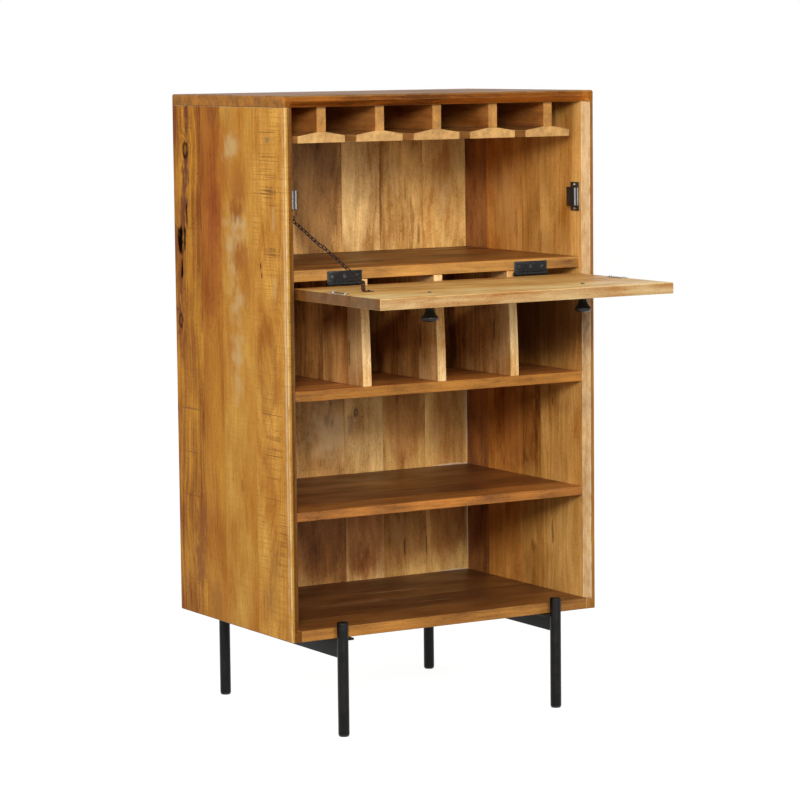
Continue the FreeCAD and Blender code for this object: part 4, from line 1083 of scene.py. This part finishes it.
    back: MangoBoard = MangoBoard(
        "mango_back", Axis.Z, Axis.X, -328, (
            Stave(-222, "#ca9a57", "#95632f", 0.24, 0.0, 0.18),
            Stave(-96, "#d4a056", "#976931", 0.24, 0.0, 0.18),
            Stave(27, "#dfab66", "#8e612f", 0.28, 0.0, 0.20),
            Stave(120, "#f2c883", "#a9793e", 0.26, 0.0, 0.18),
            Stave(222, "#e4b56b", "#a16f33", 0.28, 0.0, 0.24),
            Stave(328, "#ffd584", "#c38e49", 0.24, 0.0, 0.18)),
        marks=(
            Mark(56, 566, 7, 13, KNOT, 0.85, 0.5, 2.0, bare=0.3),
            *marks((42, 540, 8, 30, "#7a4318", 0.5, 0.9, 1.0),
                (120, 1000, 3.4, 140, "#6b3a14", 0.85, 0.5),
                (196, 950, 7, 60, "#80501f", 0.55, 1.0, 1.4),
                (180, 1020, 4, 40, "#80501f", 0.45, 1.0), (212, 930, 4, 26, "#7a4318", 0.6, 0.8)),
            *marks((150, 1060, 30, 60, "#dcb87e", 0.35, 1.0),
                (270, 1010, 34, 70, "#d9b57c", 0.35, 1.0),
                (250, 500, 26, 60, "#d0ab74", 0.35, 1.0),
                (155, 300, 26, 60, "#d0ab74", 0.35, 1.0), soft=1.0),
            Mark(-5, 530, 80, 90, "#e2c090", 0.6, 0.6, soft=1.0, cloud=True, toward=FRONT),
            # Tints on the front face darken the left of the upper bay, the middle and bottom bays,
            # and the bottle bay under the flap, as painted shade.
            Mark(-35, 1050, 66, 200, "#c6c0bc", 1.0, 0.1, soft=0.25, glaze=True, toward=FRONT),
            *marks((-35, 320, 66, 125, "#ddd0c8", 0.9, 0.1),
                (171, 545, 54, 120, "#e6d4d0", 0.9, 0.1), (74, 320, 52, 125, "#ecd4c8", 0.9, 0.1),
                (275, 430, 58, 250, "#e0d0c8", 1.0, 0.1), soft=0.3, glaze=True, toward=FRONT),
            *marks((60, 250, 40, 50, "#c8b4a8", 0.7, 0.9),
                (30, 620, 60, 36, "#b8a498", 0.8, 0.9), soft=1.0, glaze=True, toward=FRONT),
            Mark(0, 320, 420, 125, "#e2cfc8", 0.9, 0.1, soft=0.4, glaze=True, toward=FRONT),
            Mark(0, 775, 420, 110, "#a89c94", 0.8, 0.1, soft=0.35, glaze=True, toward=FRONT),
            *marks((170, 275, 3, 22, "#4a2a12", 0.7, 0.8),
                (224, 270, 2.6, 50, "#4a2a12", 0.7, 0.8)),
            *marks((-10, 560, 16, 40, "#5a3a1c", 0.4, 1.0),
                (0, 250, 20, 40, "#5a3a1c", 0.4, 1.0), soft=1.0),
            *marks((326.8, 560, 3.0, 120, "#e6d4b4", 0.8, 0.7),
                (326.8, 300, 3.0, 120, "#e6d4b4", 0.8, 0.7),
                (300, 212, 60, 4, "#d8c4a0", 0.8, 0.8),
                (290, 438, 60, 4, "#d8c4a0", 0.75, 0.8), toward=FRONT)),
        wear_and_highlight_cover=0.3, contrast=1.15, seed=0.87)

    def build(self) -> None:
        """Make and dress the five boards of the body and their hidden tenons."""
        for node, finish, slot in (
                ("left_side_panel", self.left, "case_wood"),
                ("right_side_panel", self.right, "case_wood"),
                ("top_panel", self.top, "case_wood"), ("bottom_panel", self.bottom, "shelf_wood"),
                ("back_panel", self.back, "back_wood")):
            Worn(node, slot).build(finish.make())
        raw = RAW_WOOD.make()
        for node in ("carcass_tenons", "divider_tenons", "rail_tenons"):
            dress(node, raw)


@dataclass
class Shelves:
    """The counter behind the flap, the shelf under the bottles and the lower shelf."""

    # The counter's front edge is lightened, partly its own paler long grain and partly painted
    # light; the bottle shelf's front, under the flap, is darkened as painted shade.
    counter: MangoBoard = MangoBoard(
        "mango_counter", Axis.X, Axis.Y, -70, staves(
            (40, "#b67837", "#6d411c"), (150, "#a26930", "#5b3517"), (250, "#af7334", "#673f1c"),
            (356, "#905b28", "#502f17")),
        facings=(Facing(FRONT, (1.14, 1.46, 1.75)),), wear_and_highlight="#d8ae74", wear_and_highlight_cover=0.5, contrast=0.8,
        seed=0.19)
    bottle: MangoBoard = MangoBoard(
        "mango_bottle_shelf", Axis.X, Axis.Y, -79, staves(
            (10, "#d78b43", "#814c24"), (130, "#b46f36", "#694020"), (240, "#a26430", "#5f391e"),
            (356, "#a26430", "#553416")),
        facings=(Facing(FRONT, (0.72, 0.80, 0.62)),), wear_and_highlight="#c99a58", wear_and_highlight_cover=0.4, contrast=0.8,
        seed=0.43)
    lower: MangoBoard = MangoBoard(
        "mango_lower_shelf", Axis.X, Axis.Y, -79, staves(
            (-2, "#ba7635", "#6c3f1d"), (105, "#935728", "#583217"), (225, "#a3652e", "#643a1a"),
            (356, "#895327", "#522e16")),
        marks=marks((60, 20, 7, 90, "#b08a5c", 0.35, 1.2), (150, -60, 10, 60, "#b08a5c", 0.25, 1.2),
                    (330, 200, 10, 70, "#8f6f52", 0.4, 1.0)),
        facings=(Facing(FRONT, (1.05, 1.10, 1.05)),), wear_and_highlight="#c2904f", wear_and_highlight_cover=0.4, contrast=0.8,
        seed=0.61)

    def build(self) -> None:
        """Make and dress the three shelves."""
        for node, finish in (("counter_shelf", self.counter), ("bottle_shelf", self.bottle),
                             ("lower_shelf", self.lower)):
            Worn(node, "shelf_wood").build(finish.make())


@dataclass
class Dividers:
    """The three uprights between the bottles, each from its own staves."""

    boundaries: tuple[tuple[float, ...], ...] = (
        (-22, 78, 180, 270), (-8, 62, 150, 262), (-14, 92, 170, 280))
    # The last two tones, of the rear staves, are darker as painted shade under the flap.
    tones: tuple[tuple[str, str], ...] = (
        ("#e6ba80", "#b37c40"), ("#eeb068", "#9a6432"), ("#eaa459", "#8c582b"),
        ("#cb9250", "#7c4c26"), ("#a06c3a", "#573318"))

    def build(self) -> None:
        """Make and dress the dividers."""
        for number, ends in enumerate(self.boundaries, 1):
            rows = ((end, *tones) for end, tones in zip((*ends, 356), self.tones))
            slits = marks((ends[0] - 4, 720 + 14 * number, 2.6, 32, KNOT, 0.8, 0.8),
                          (ends[1] + 8, 752 - 10 * number, 2.2, 26, KNOT, 0.6, 0.8))
            finish = MangoBoard(
                f"mango_divider_{number}", Axis.Z, Axis.Y, -80,
                staves(*rows, figure=0.24, streak=0.26), slits,
                # The front edges are lightened, partly their own paler tone and partly painted
                # light.
                (Facing(FRONT, (1.25, 1.46, 1.70)),),
                wear_and_highlight="#e6cb9c", wear_and_highlight_cover=0.5, contrast=1.25, seed=0.23 * number)
            Worn(f"bottle_divider_{number}", "rail_wood").build(finish.make())


@dataclass
class GlassRack:
    """Five T-shaped rails under the top that hold stemmed glasses by their feet."""

    count: int = 5
    pitch: float = 128.4
    tones: tuple[tuple[str, str], ...] = (
        ("#cb9c60", "#94663a"), ("#d2a566", "#9c6c40"), ("#c8975a", "#8f5f33"),
        ("#cf9f63", "#986834"), ("#c59558", "#8c5c31"))

    def finish(self, name: str, end_shade: str, gains: tuple[tuple, ...],
               seed: float) -> MangoBoard:
        """The finish of all flanges or all stems, one stave to a rail.

        Args:
            name: name of the finish.
            end_shade: tone of the sawn ends.
            gains: the ways that faces look, each with what stain and painted shade did to them.
            seed: where the patterns start.

        Returns:
            The finish.
        """
        first = -self.pitch * self.count / 2
        rows = ((first + self.pitch * number, *tones) for number, tones in enumerate(self.tones, 1))
        sides = tuple(Facing(way, gain, reach=0.6) for way, gain in gains)
        return MangoBoard(name, Axis.Y, Axis.X, first, staves(*rows, figure=0.25, streak=0.35),
                          facings=sides, end_shade=end_shade, end_cover=0.55, wear_and_highlight="#dcbc8c",
                          wear_and_highlight_cover=0.35, seed=seed)

    def build(self) -> None:
        """Make and dress the rails."""
        flange = self.finish("mango_rail_flange", "#ba935a", (
            (UP, (0.62, 0.45, 0.32)), (LEFT, (0.95, 0.85, 0.70)),
            (RIGHT, (0.7, 0.6, 0.5))), 0.07).make()
        # The stems' sides are darkened, partly their own darker tone and partly painted shade under
        # the top board.
        stem = self.finish("mango_rail_stem", "#a3702f", (
            (LEFT, (0.90, 0.66, 0.44)), (RIGHT, (0.90, 0.66, 0.44))), 0.37).make()
        for number in range(1, self.count + 1):
            Worn(f"rail_flange_{number}", "rail_wood").build(flange)
            Worn(f"rail_stem_{number}", "rail_wood").build(stem)


# ---- Fittings -----------------------------------------------------------------------------------
class Recess(Enum):
    """How a screw head is driven."""

    CROSS = "cross"
    SLOT = "slot"


BLADE = 0.42    # width of a driver's blade over the length of its arm


@dataclass(frozen=True)
class Screw:
    """A screw: its rings from tip to head, the recess in its head, and how high the head stands."""

    rings: tuple[tuple[float, float], ...]
    recess: Recess
    arm: float
    head: float = 2.0
    sides: int = 20

    def model(self, name: str) -> Object:
        """Model the screw upright, its head's seat at the origin.

        Args:
            name: name of the piece.

        Returns:
            The screw.
        """
        screw = turned(name, list(self.rings), self.sides)
        width = self.arm * BLADE
        deselect_all()
        bpy.ops.mesh.primitive_cube_add(size=width * MM, location=(0, 0, self.rings[-1][1] * MM))
        tool = take_primitive(name + "_driver")
        with edit(tool, "FACE"):
            # A cross has four arms and a slot only the two along X.
            pick(tool, "faces", lambda face: abs(face.normal.z) < 0.5
                 and (self.recess is Recess.CROSS or abs(face.normal.x) > 0.9))
            bpy.ops.mesh.extrude_faces_move(
                TRANSFORM_OT_shrink_fatten={"value": (self.arm - width / 2) * MM})
        return cut(screw, tool)


COUNTERSUNK = Screw(((0.6, -9), (1.6, -7), (1.7, -2.4), (3.45, -0.35), (3.5, 0.06), (3.0, 0.12)),
                    Recess.CROSS, 1.9, 0.0)
BACK_COUNTERSUNK = Screw(((0.7, -12), (1.8, -9), (1.9, -2.2), (3.7, -0.5), (3.75, 0.0),
                          (3.3, 0.05)), Recess.CROSS, 2.0, 0.0)
STRIKE_ROUND = Screw(((0.5, -8), (1.3, -6.5), (1.35, 0.0), (2.75, 0.02), (2.75, 0.8), (2.3, 1.5),
                      (1.3, 1.92), (0.6, 2.0)), Recess.SLOT, 3.2)
CATCH_PAN = Screw(((0.6, -9), (1.5, -7), (1.55, 0.0), (3.15, 0.02), (3.15, 1.0), (2.6, 1.7),
                   (1.4, 1.96), (0.6, 2.0)), Recess.CROSS, 1.8)
LEG_PAN = Screw(((0.8, -12), (2.0, -9), (2.05, 0.0), (4.15, 0.02), (4.15, 1.0), (3.4, 1.7),
                 (1.8, 1.96), (0.8, 2.0)), Recess.CROSS, 2.2)
ANCHOR_PAN = Screw(((0.6, -8), (1.5, -6.5), (1.55, 0.0), (2.95, 0.02), (2.95, 0.9), (2.4, 1.6),
                    (1.2, 1.94), (0.5, 2.0)), Recess.SLOT, 3.4)
KNOB_BOLT = Screw(((0.9, -30), (1.9, -28), (1.95, 0.0), (3.95, 0.02), (3.95, 0.8), (3.3, 1.5),
                   (1.8, 1.94), (0.8, 2.0)), Recess.SLOT, 4.4)


@dataclass
class Fasteners:
    """Every screw of one kind, modelled once and copied to the seats that the CAD gives.

    Args:
        node: their CAD node.
        screw: the screw.
        axis: the way their heads look, or toward the middle of the cabinet when inward.
        slot: the record's slot; not used.
        inward: whether those on the right look the other way.
    """

    node: str
    screw: Screw
    axis: tuple[int, int, int]
    slot: str
    inward: bool = False

    def seats(self) -> list[tuple[Vector, Vector]]:
        """Find the middle of each head's seat and the way its head looks.

        Returns:
            Place in mm and outward axis of each screw.
        """
        found = []
        for points in islands(self.node):
            low, high = points.min(0), points.max(0)
            turned_round = self.inward and points.mean(0)[0] > 0
            outward = np.array(self.axis) * (-1 if turned_round else 1)
            seat = (low + high) / 2 + ((high - low) / 2 - self.screw.head) * outward
            found.append((Vector(seat), Vector(outward)))
        return found

    def build(self, finish: Material) -> None:
        """Model one screw, copy it to every seat and join the copies."""
        pattern = self.screw.model(self.node + "_pattern")
        copies = [set_at(copy_of(pattern, f"{self.node}_{number}"), place, axis)
                  for number, (place, axis) in enumerate(self.seats())]
        bpy.data.objects.remove(pattern)
        fit(joined(copies, self.node + "_driven"), finish, [self.node])


@dataclass
class Hinges:
    """Two enamelled butt hinges with five knuckles each, and the black screws of the cabinet."""

    arris: float = 0.3
    shortest: float = 3.0
    screws: tuple[tuple[str, Screw, tuple[int, int, int]], ...] = (
        ("hinge_fixed_screws", COUNTERSUNK, FRONT), ("hinge_moving_screws", COUNTERSUNK, BACK),
        ("back_panel_screws", BACK_COUNTERSUNK, BACK), ("knob_bolts", KNOB_BOLT, UP),
        ("leg_screws", LEG_PAN, DOWN))

    def build(self) -> None:
        """Make and dress leaves, pins and screws."""
        steel, black = HINGE_STEEL.make(), BLACK_SCREW.make()
        for side in ("left", "right"):
            for leaf in ("hinge_fixed_leaf_", "hinge_moving_leaf_"):
                Worn(leaf + side, "hinge_steel", self.arris, self.shortest).build(steel)
            dress("hinge_pin_" + side, steel)
        for node, screw, axis in self.screws:
            Fasteners(node, screw, axis, "black_screws").build(black)


@dataclass
class Catches:
    """Magnetic catches on the side panels and their strike plates on the flap."""

    def build(self) -> None:
        """Make and dress housings, magnets, pole plates, strike plates and screws."""
        plastic, zinc, nickel = CATCH_PLASTIC.make(), POLE_ZINC.make(), STRIKE_NICKEL.make()
        ferrite, bright = FERRITE.make(), BRIGHT_SCREW.make()
        for side in ("left", "right"):
            Worn("catch_housing_" + side, "catch_plastic", 0.6, 3.0, 2).build(plastic)
            Worn("catch_pole_plates_" + side, "zinc_plate", 0.25, 1.0).build(zinc)
            dress("catch_magnet_" + side, ferrite)
            Worn("strike_plate_" + side, "strike_steel", 0.25, 1.5).build(nickel)
        for node, screw, axis, inward in (("catch_screws", CATCH_PAN, RIGHT, True),
                                          ("strike_screws", STRIKE_ROUND, UP, False)):
            Fasteners(node, screw, axis, "bright_screws", inward).build(bright)


@dataclass
class StayChain:
    """The chain that holds the open flap, from a screw eye in the side to a bent anchor."""

    wire: float = 2.0
    link_flats: int = 18
    wire_flats: int = 8
    eye_centre: tuple[float, float, float] = (-322.7, -69.6, 999.0)
    eye_radius: float = 4.0
    eye_wire: float = 2.4
    # The shank grows out of the ring by these steps in mm, each with the size it shrinks to.
    shank: tuple[tuple[float, float], ...] = ((1.6, 0.92), (12.0, 1.0), (1.5, 0.55))
    shank_half: float = 1.1

    def link(self, length: float, width: float) -> Object:
        """Model one oval link lying flat, its length along X.

        Args:
            length: over its ends, in mm.
            width: over its sides, in mm.

        Returns:
            The link at the origin.
        """
        radius = (width - self.wire) / 2
        deselect_all()
        bpy.ops.mesh.primitive_torus_add(
            major_radius=radius * MM, minor_radius=self.wire / 2 * MM,
            major_segments=self.link_flats, minor_segments=self.wire_flats)
        link = take_primitive("link_pattern")
        for sign in (-1, 1):
            with edit(link, "VERT"):
                pick(link, "verts", lambda corner: corner.co.x * sign > 0)
                bpy.ops.transform.translate(value=(sign * (length - width) / 2 * MM, 0, 0))
        return link

    def run(self, node: str, finish: Material) -> None:
        """Copy the link to the place of every link of one half of the chain.

        Args:
            node: the CAD node of that half.
            finish: its material.
        """
        copies, pattern = [], None
        for number, points in enumerate(islands(node)):
            middle = points.mean(0)
            axes = np.linalg.eigh(np.cov((points - middle).T))[1][:, ::-1]
            spread = (points - middle) @ axes
            sizes = spread.max(0) - spread.min(0)
            if pattern is None:
                pattern = self.link(sizes[0], sizes[1])
            if np.linalg.det(axes) < 0:
                axes[:, 2] *= -1
            copy = copy_of(pattern, f"{node}_{number}")
            turn = Matrix(axes.tolist()).to_4x4()
            copy.data.transform(Matrix.Translation(Vector(middle) * MM) @ turn)
            copies.append(copy)
        bpy.data.objects.remove(pattern)
        fit(joined(copies, node + "_oval"), finish, [node])

    def eye(self, finish: Material) -> None:
        """Bend the eye and draw its shank out to the wall.

        Args:
            finish: its material.
        """
        centre = Vector(self.eye_centre)
        deselect_all()
        bpy.ops.mesh.primitive_torus_add(
            location=centre * MM, rotation=(math.pi / 2, 0, 0), major_radius=self.eye_radius * MM,
            minor_radius=self.eye_wire / 2 * MM, major_segments=28, minor_segments=10)
        eye = take_primitive("chain_eye_bent")
        with edit(eye, "FACE"):
            edge = (centre.x - self.eye_radius - self.eye_wire * 0.28) * MM
            pick(eye, "faces", lambda face: face.calc_center_median().x < edge
                 and abs(face.calc_center_median().z - centre.z * MM) < self.shank_half * MM)
            for step, size in self.shank:
                bpy.ops.mesh.extrude_region_move(
                    TRANSFORM_OT_translate={"value": (-step * MM, 0, 0)})
                bpy.ops.transform.resize(value=(1, size, size))
        fit(eye, finish, ["chain_eye"])

    def build(self) -> None:
        """Make and dress the chain, its eye and its anchor."""
        bronze = CHAIN_BRONZE.make()
        self.run("chain_upper_links", bronze)
        self.run("chain_lower_links", bronze)
        self.eye(bronze)
        Worn("chain_anchor", "chain_steel", 0.3, 2.5).build(ANCHOR_BRONZE.make())
        Fasteners("chain_anchor_screw", ANCHOR_PAN, UP, "chain_steel").build(bronze)


@dataclass
class Flap:
    """The drop flap with its two turned knobs."""

    board: MangoBoard = MangoBoard(
        "mango_flap", Axis.X, Axis.Y, -396, staves(
            (-290, "#fbe4a2", "#c48d48"), (-200, "#fbd386", "#b78341"),
            (-118, "#f5c97a", "#af793b"), (-70, "#e9b466", "#a36c2d"), figure=0.25, saw=0.1),
        facings=(Facing(FRONT, (0.58, 0.52, 0.54)),), end_shade="#5c3009", end_cover=0.9,
        wear_and_highlight="#ead3aa", wear_and_highlight_cover=0.8, contrast=0.85, seed=0.29)
    knob_sides: int = 64
    neck: float = 6.8
    rim: float = 16.4
    height: float = 34.0
    flare: float = 2.6
    flare_steps: int = 14
    dome_steps: int = 7

    def knob(self) -> Object:
        """Turn a knob: a trumpet neck, a rounded rim and a low dome, hanging from the origin."""
        straight, rim_height, dome = 24.4, 3.0, 6.6
        rings = [(self.neck * 0.98, 0.0)]
        for step in range(self.flare_steps + 1):
            share = step / self.flare_steps
            flare = (self.rim - 0.8 - self.neck) * share ** self.flare
            rings.append((self.neck + flare, 0.4 + (straight - 0.4) * share))
        rings += [(self.rim - 0.25, straight + 0.5), (self.rim, straight + 1.3),
                  (self.rim - 0.1, straight + rim_height - 0.6)]
        for step in range(1, self.dome_steps):
            angle = math.pi / 2 * step / self.dome_steps
            rings.append(((self.rim - 0.5) * math.cos(angle),
                          straight + rim_height + dome * math.sin(angle)))
        rings.append((1.0, self.height))
        return turned("knob_pattern", rings, self.knob_sides)

    def build(self) -> None:
        """Make and dress the flap and its knobs."""
        Worn("drop_flap", "flap_wood").build(self.board.make())
        lacquer = KNOB_LACQUER.make()
        pattern = self.knob()
        for side in ("left", "right"):
            low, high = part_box("knob_" + side)
            place = Vector(((low.x + high.x) / 2, (low.y + high.y) / 2, high.z)) / MM
            knob = set_at(copy_of(pattern, f"knob_{side}_turned"), place, Vector(DOWN))
            fit(knob, lacquer, ["knob_" + side])
        bpy.data.objects.remove(pattern)


@dataclass
class Stand:
    """Four round bars with rounded tops, welded in pairs to two lengths of angle iron."""

    radius: float = 11.0
    sides: int = 40
    foot: float = 0.8
    crown: float = 3.0
    bead_radius: float = 2.7
    bead_step: float = 2.6
    bead_height: float = 33.0

    def bar(self, node: str, steel: Material) -> None:
        """Turn one bar with a rounded top edge and a broken bottom edge.

        Args:
            node: its CAD node.
            steel: its finish.
        """
        low, high = (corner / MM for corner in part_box(node))
        rings = [(self.radius - self.foot, low.z), (self.radius, low.z + self.foot),
                 (self.radius, high.z - self.crown)]
        for step in range(1, 6):
            angle = math.pi / 2 * step / 6
            rings.append((self.radius - self.crown * (1 - math.cos(angle)),
                          high.z - self.crown * (1 - math.sin(angle))))
        rings.append((self.radius - self.crown - 0.2, high.z))
        bar = turned(node + "_round", rings, self.sides)
        middle = Vector(((low.x + high.x) / 2, (low.y + high.y) / 2, 0))
        fit(set_at(bar, middle, Vector(UP)), steel, [node])

    def bead(self, name: str, place: Vector) -> Object:
        """Run one lumpy weld bead up a corner between bar and angle.

        Args:
            name: name of the piece.
            place: its lower end in mm.

        Returns:
            The bead.
        """
        count = int(self.bead_height / self.bead_step)
        rings = [(0.8, 0.0)]
        for step in range(1, count):
            lump = 1 + 0.16 * math.sin(step * 2.1) + 0.10 * math.sin(step * 5.3 + 1)
            rings.append((self.bead_radius * lump, step * self.bead_step))
        rings.append((0.8, count * self.bead_step))
        return set_at(turned(name, rings, 10), place, Vector(UP))

    def angle(self, node: str, steel: Material) -> None:
        """Round the edges of one angle iron and weld it to its bars.

        Args:
            node: its CAD node.
            steel: its finish.
        """
        iron = worn_copy(node, 0.9, 8.0, 2)
        low, high = (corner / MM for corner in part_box(node))
        side = math.copysign(1, low.x)
        outer = max(abs(low.x), abs(high.x))
        beads = []
        for end, (y, inward) in enumerate(((low.y + 10.6, 1), (high.y - 10.6, -1))):
            for number, (x, step) in enumerate(((outer - 0.2, -1.0), (outer - 5.4, 0.6))):
                place = Vector((side * x, y + inward * step, low.z + 1.5))
                beads.append(self.bead(f"{node}_bead_{end}_{number}", place))
        fit(joined([iron, *beads], node + "_welded"), steel, [node])

    def build(self) -> None:
        """Make and dress the stand."""
        steel = BAR_STEEL.make()
        for side in ("left", "right"):
            for end in ("front", "back"):
                self.bar(f"leg_rod_{end}_{side}", steel)
            self.angle("leg_angle_" + side, steel)
        dress("floor_glides", FOOT_PLASTIC.make())


# ---- Studio -------------------------------------------------------------------------------------
WHITE = (1, 1, 1, 1)


@dataclass
class Studio:
    """A pale floor, a white world, soft lamps and the camera."""

    camera_place: tuple[float, float, float] = (-3.257629, -5.376022, 1.321897)
    lens: float = 144.3245
    yaw: float = 30.82509
    pitch: float = 6.30948
    roll: float = 0.62199
    ambient: float = 0.30
    floor_shade: tuple[float, ...] = (0.32, 0.32, 0.31, 1)
    floor_glow: float = 0.90
    lamps: tuple[tuple[str, tuple, tuple, float, float], ...] = (
        # name, place, aim, size in m, power in W
        ("key", (-2.9, -4.5, 2.55), (0.0, 0.0, 0.85), 1.3, 210.0),
        ("side", (-4.6, -0.8, 1.9), (0.0, 0.0, 0.8), 2.0, 60.0),
        ("fill", (0.4, -5.8, 2.1), (0.0, 0.0, 0.8), 2.4, 150.0),
        ("overhead", (0.3, -0.6, 4.6), (0.0, 0.0, 0.8), 2.4, 20.0))

    def seen(self, node: Callable[..., Node]) -> Node:
        """Tell what camera, gloss and glass see from what only lights the scene.

        Args:
            node: adds a node to the tree.

        Returns:
            1 for what is seen and 0 for the rest.
        """
        path = node("LightPath").outputs
        seen = node("Math", {0: path["Is Camera Ray"], 1: path["Is Glossy Ray"]},
                    operation="ADD", use_clamp=True)
        return node("Math", {0: seen, 1: path["Is Transmission Ray"]}, operation="ADD",
                    use_clamp=True)

    def floor(self) -> None:
        """Lay a pale floor that the camera sees nearly white, with the cabinet's soft shadow."""
        deselect_all()
        bpy.ops.mesh.primitive_plane_add(size=24)
        floor = take_primitive("studio_floor")
        material = bpy.data.materials.new("pale_matt_floor")
        node = blank(material)
        matt = node("BsdfDiffuse", {"Color": self.floor_shade})
        strength = node("Math", {0: self.seen(node), 1: self.floor_glow}, operation="MULTIPLY")
        glow = node("Emission", {"Color": WHITE, "Strength": strength})
        node("OutputMaterial", {0: node("AddShader", {0: matt, 1: glow})})
        floor.data.materials.append(material)

    def world(self) -> None:
        """Light everything softly and show white to camera, gloss and glass."""
        world = bpy.data.worlds.new("white_studio")
        bpy.context.scene.world = world
        node = blank(world)
        strength = node("MapRange", {0: self.seen(node), 3: self.ambient, 4: 1.0})
        node("OutputWorld", {0: node("Background", {0: WHITE, 1: strength})})

    def hang_lamps(self) -> None:
        """Hang the area lamps."""
        for name, place, aim, size, power in self.lamps:
            lamp = bpy.data.lights.new(name, "AREA")
            lamp.shape, lamp.size, lamp.energy = "SQUARE", size, power
            holder = bpy.data.objects.new(name, lamp)
            bpy.context.scene.collection.objects.link(holder)
            holder.location = place
            holder.rotation_mode = "QUATERNION"
            holder.rotation_quaternion = (Vector(aim) - Vector(place)).to_track_quat("-Z", "Y")

    def camera(self) -> None:
        """Set the camera at the viewing angle."""
        yaw, pitch, roll = (math.radians(angle) for angle in (self.yaw, self.pitch, self.roll))
        forward = Vector((math.sin(yaw) * math.cos(pitch), math.cos(yaw) * math.cos(pitch),
                          -math.sin(pitch)))
        right = Vector((math.cos(yaw), -math.sin(yaw), 0))
        down = forward.cross(right)
        axis_x = math.cos(roll) * right + math.sin(roll) * down
        axis_y = math.sin(roll) * right - math.cos(roll) * down
        data = bpy.data.cameras.new("camera")
        data.lens, data.sensor_width, data.clip_end = self.lens, 36.0, 60.0
        holder = bpy.data.objects.new("camera", data)
        bpy.context.scene.collection.objects.link(holder)
        turn = Matrix((axis_x, axis_y, -forward)).transposed().to_4x4()
        holder.matrix_world = Matrix.Translation(self.camera_place) @ turn
        bpy.context.scene.camera = holder

    def build(self) -> None:
        """Set up the studio."""
        bpy.context.scene.view_settings.view_transform = "Standard"
        self.floor()
        self.world()
        self.hang_lamps()
        self.camera()


def main() -> None:
    """Build and dress the cabinet sub-assembly by sub-assembly."""
    logging.basicConfig(level=logging.INFO, format="%(name)s: %(message)s")
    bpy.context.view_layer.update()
    for assembly in (Carcass(), Shelves(), Dividers(), GlassRack(), Flap(), Hinges(), Catches(),
                     StayChain(), Stand(), Studio()):
        log.info("building %s", type(assembly).__name__)
        assembly.build()


if __name__ == "__main__":
    main()
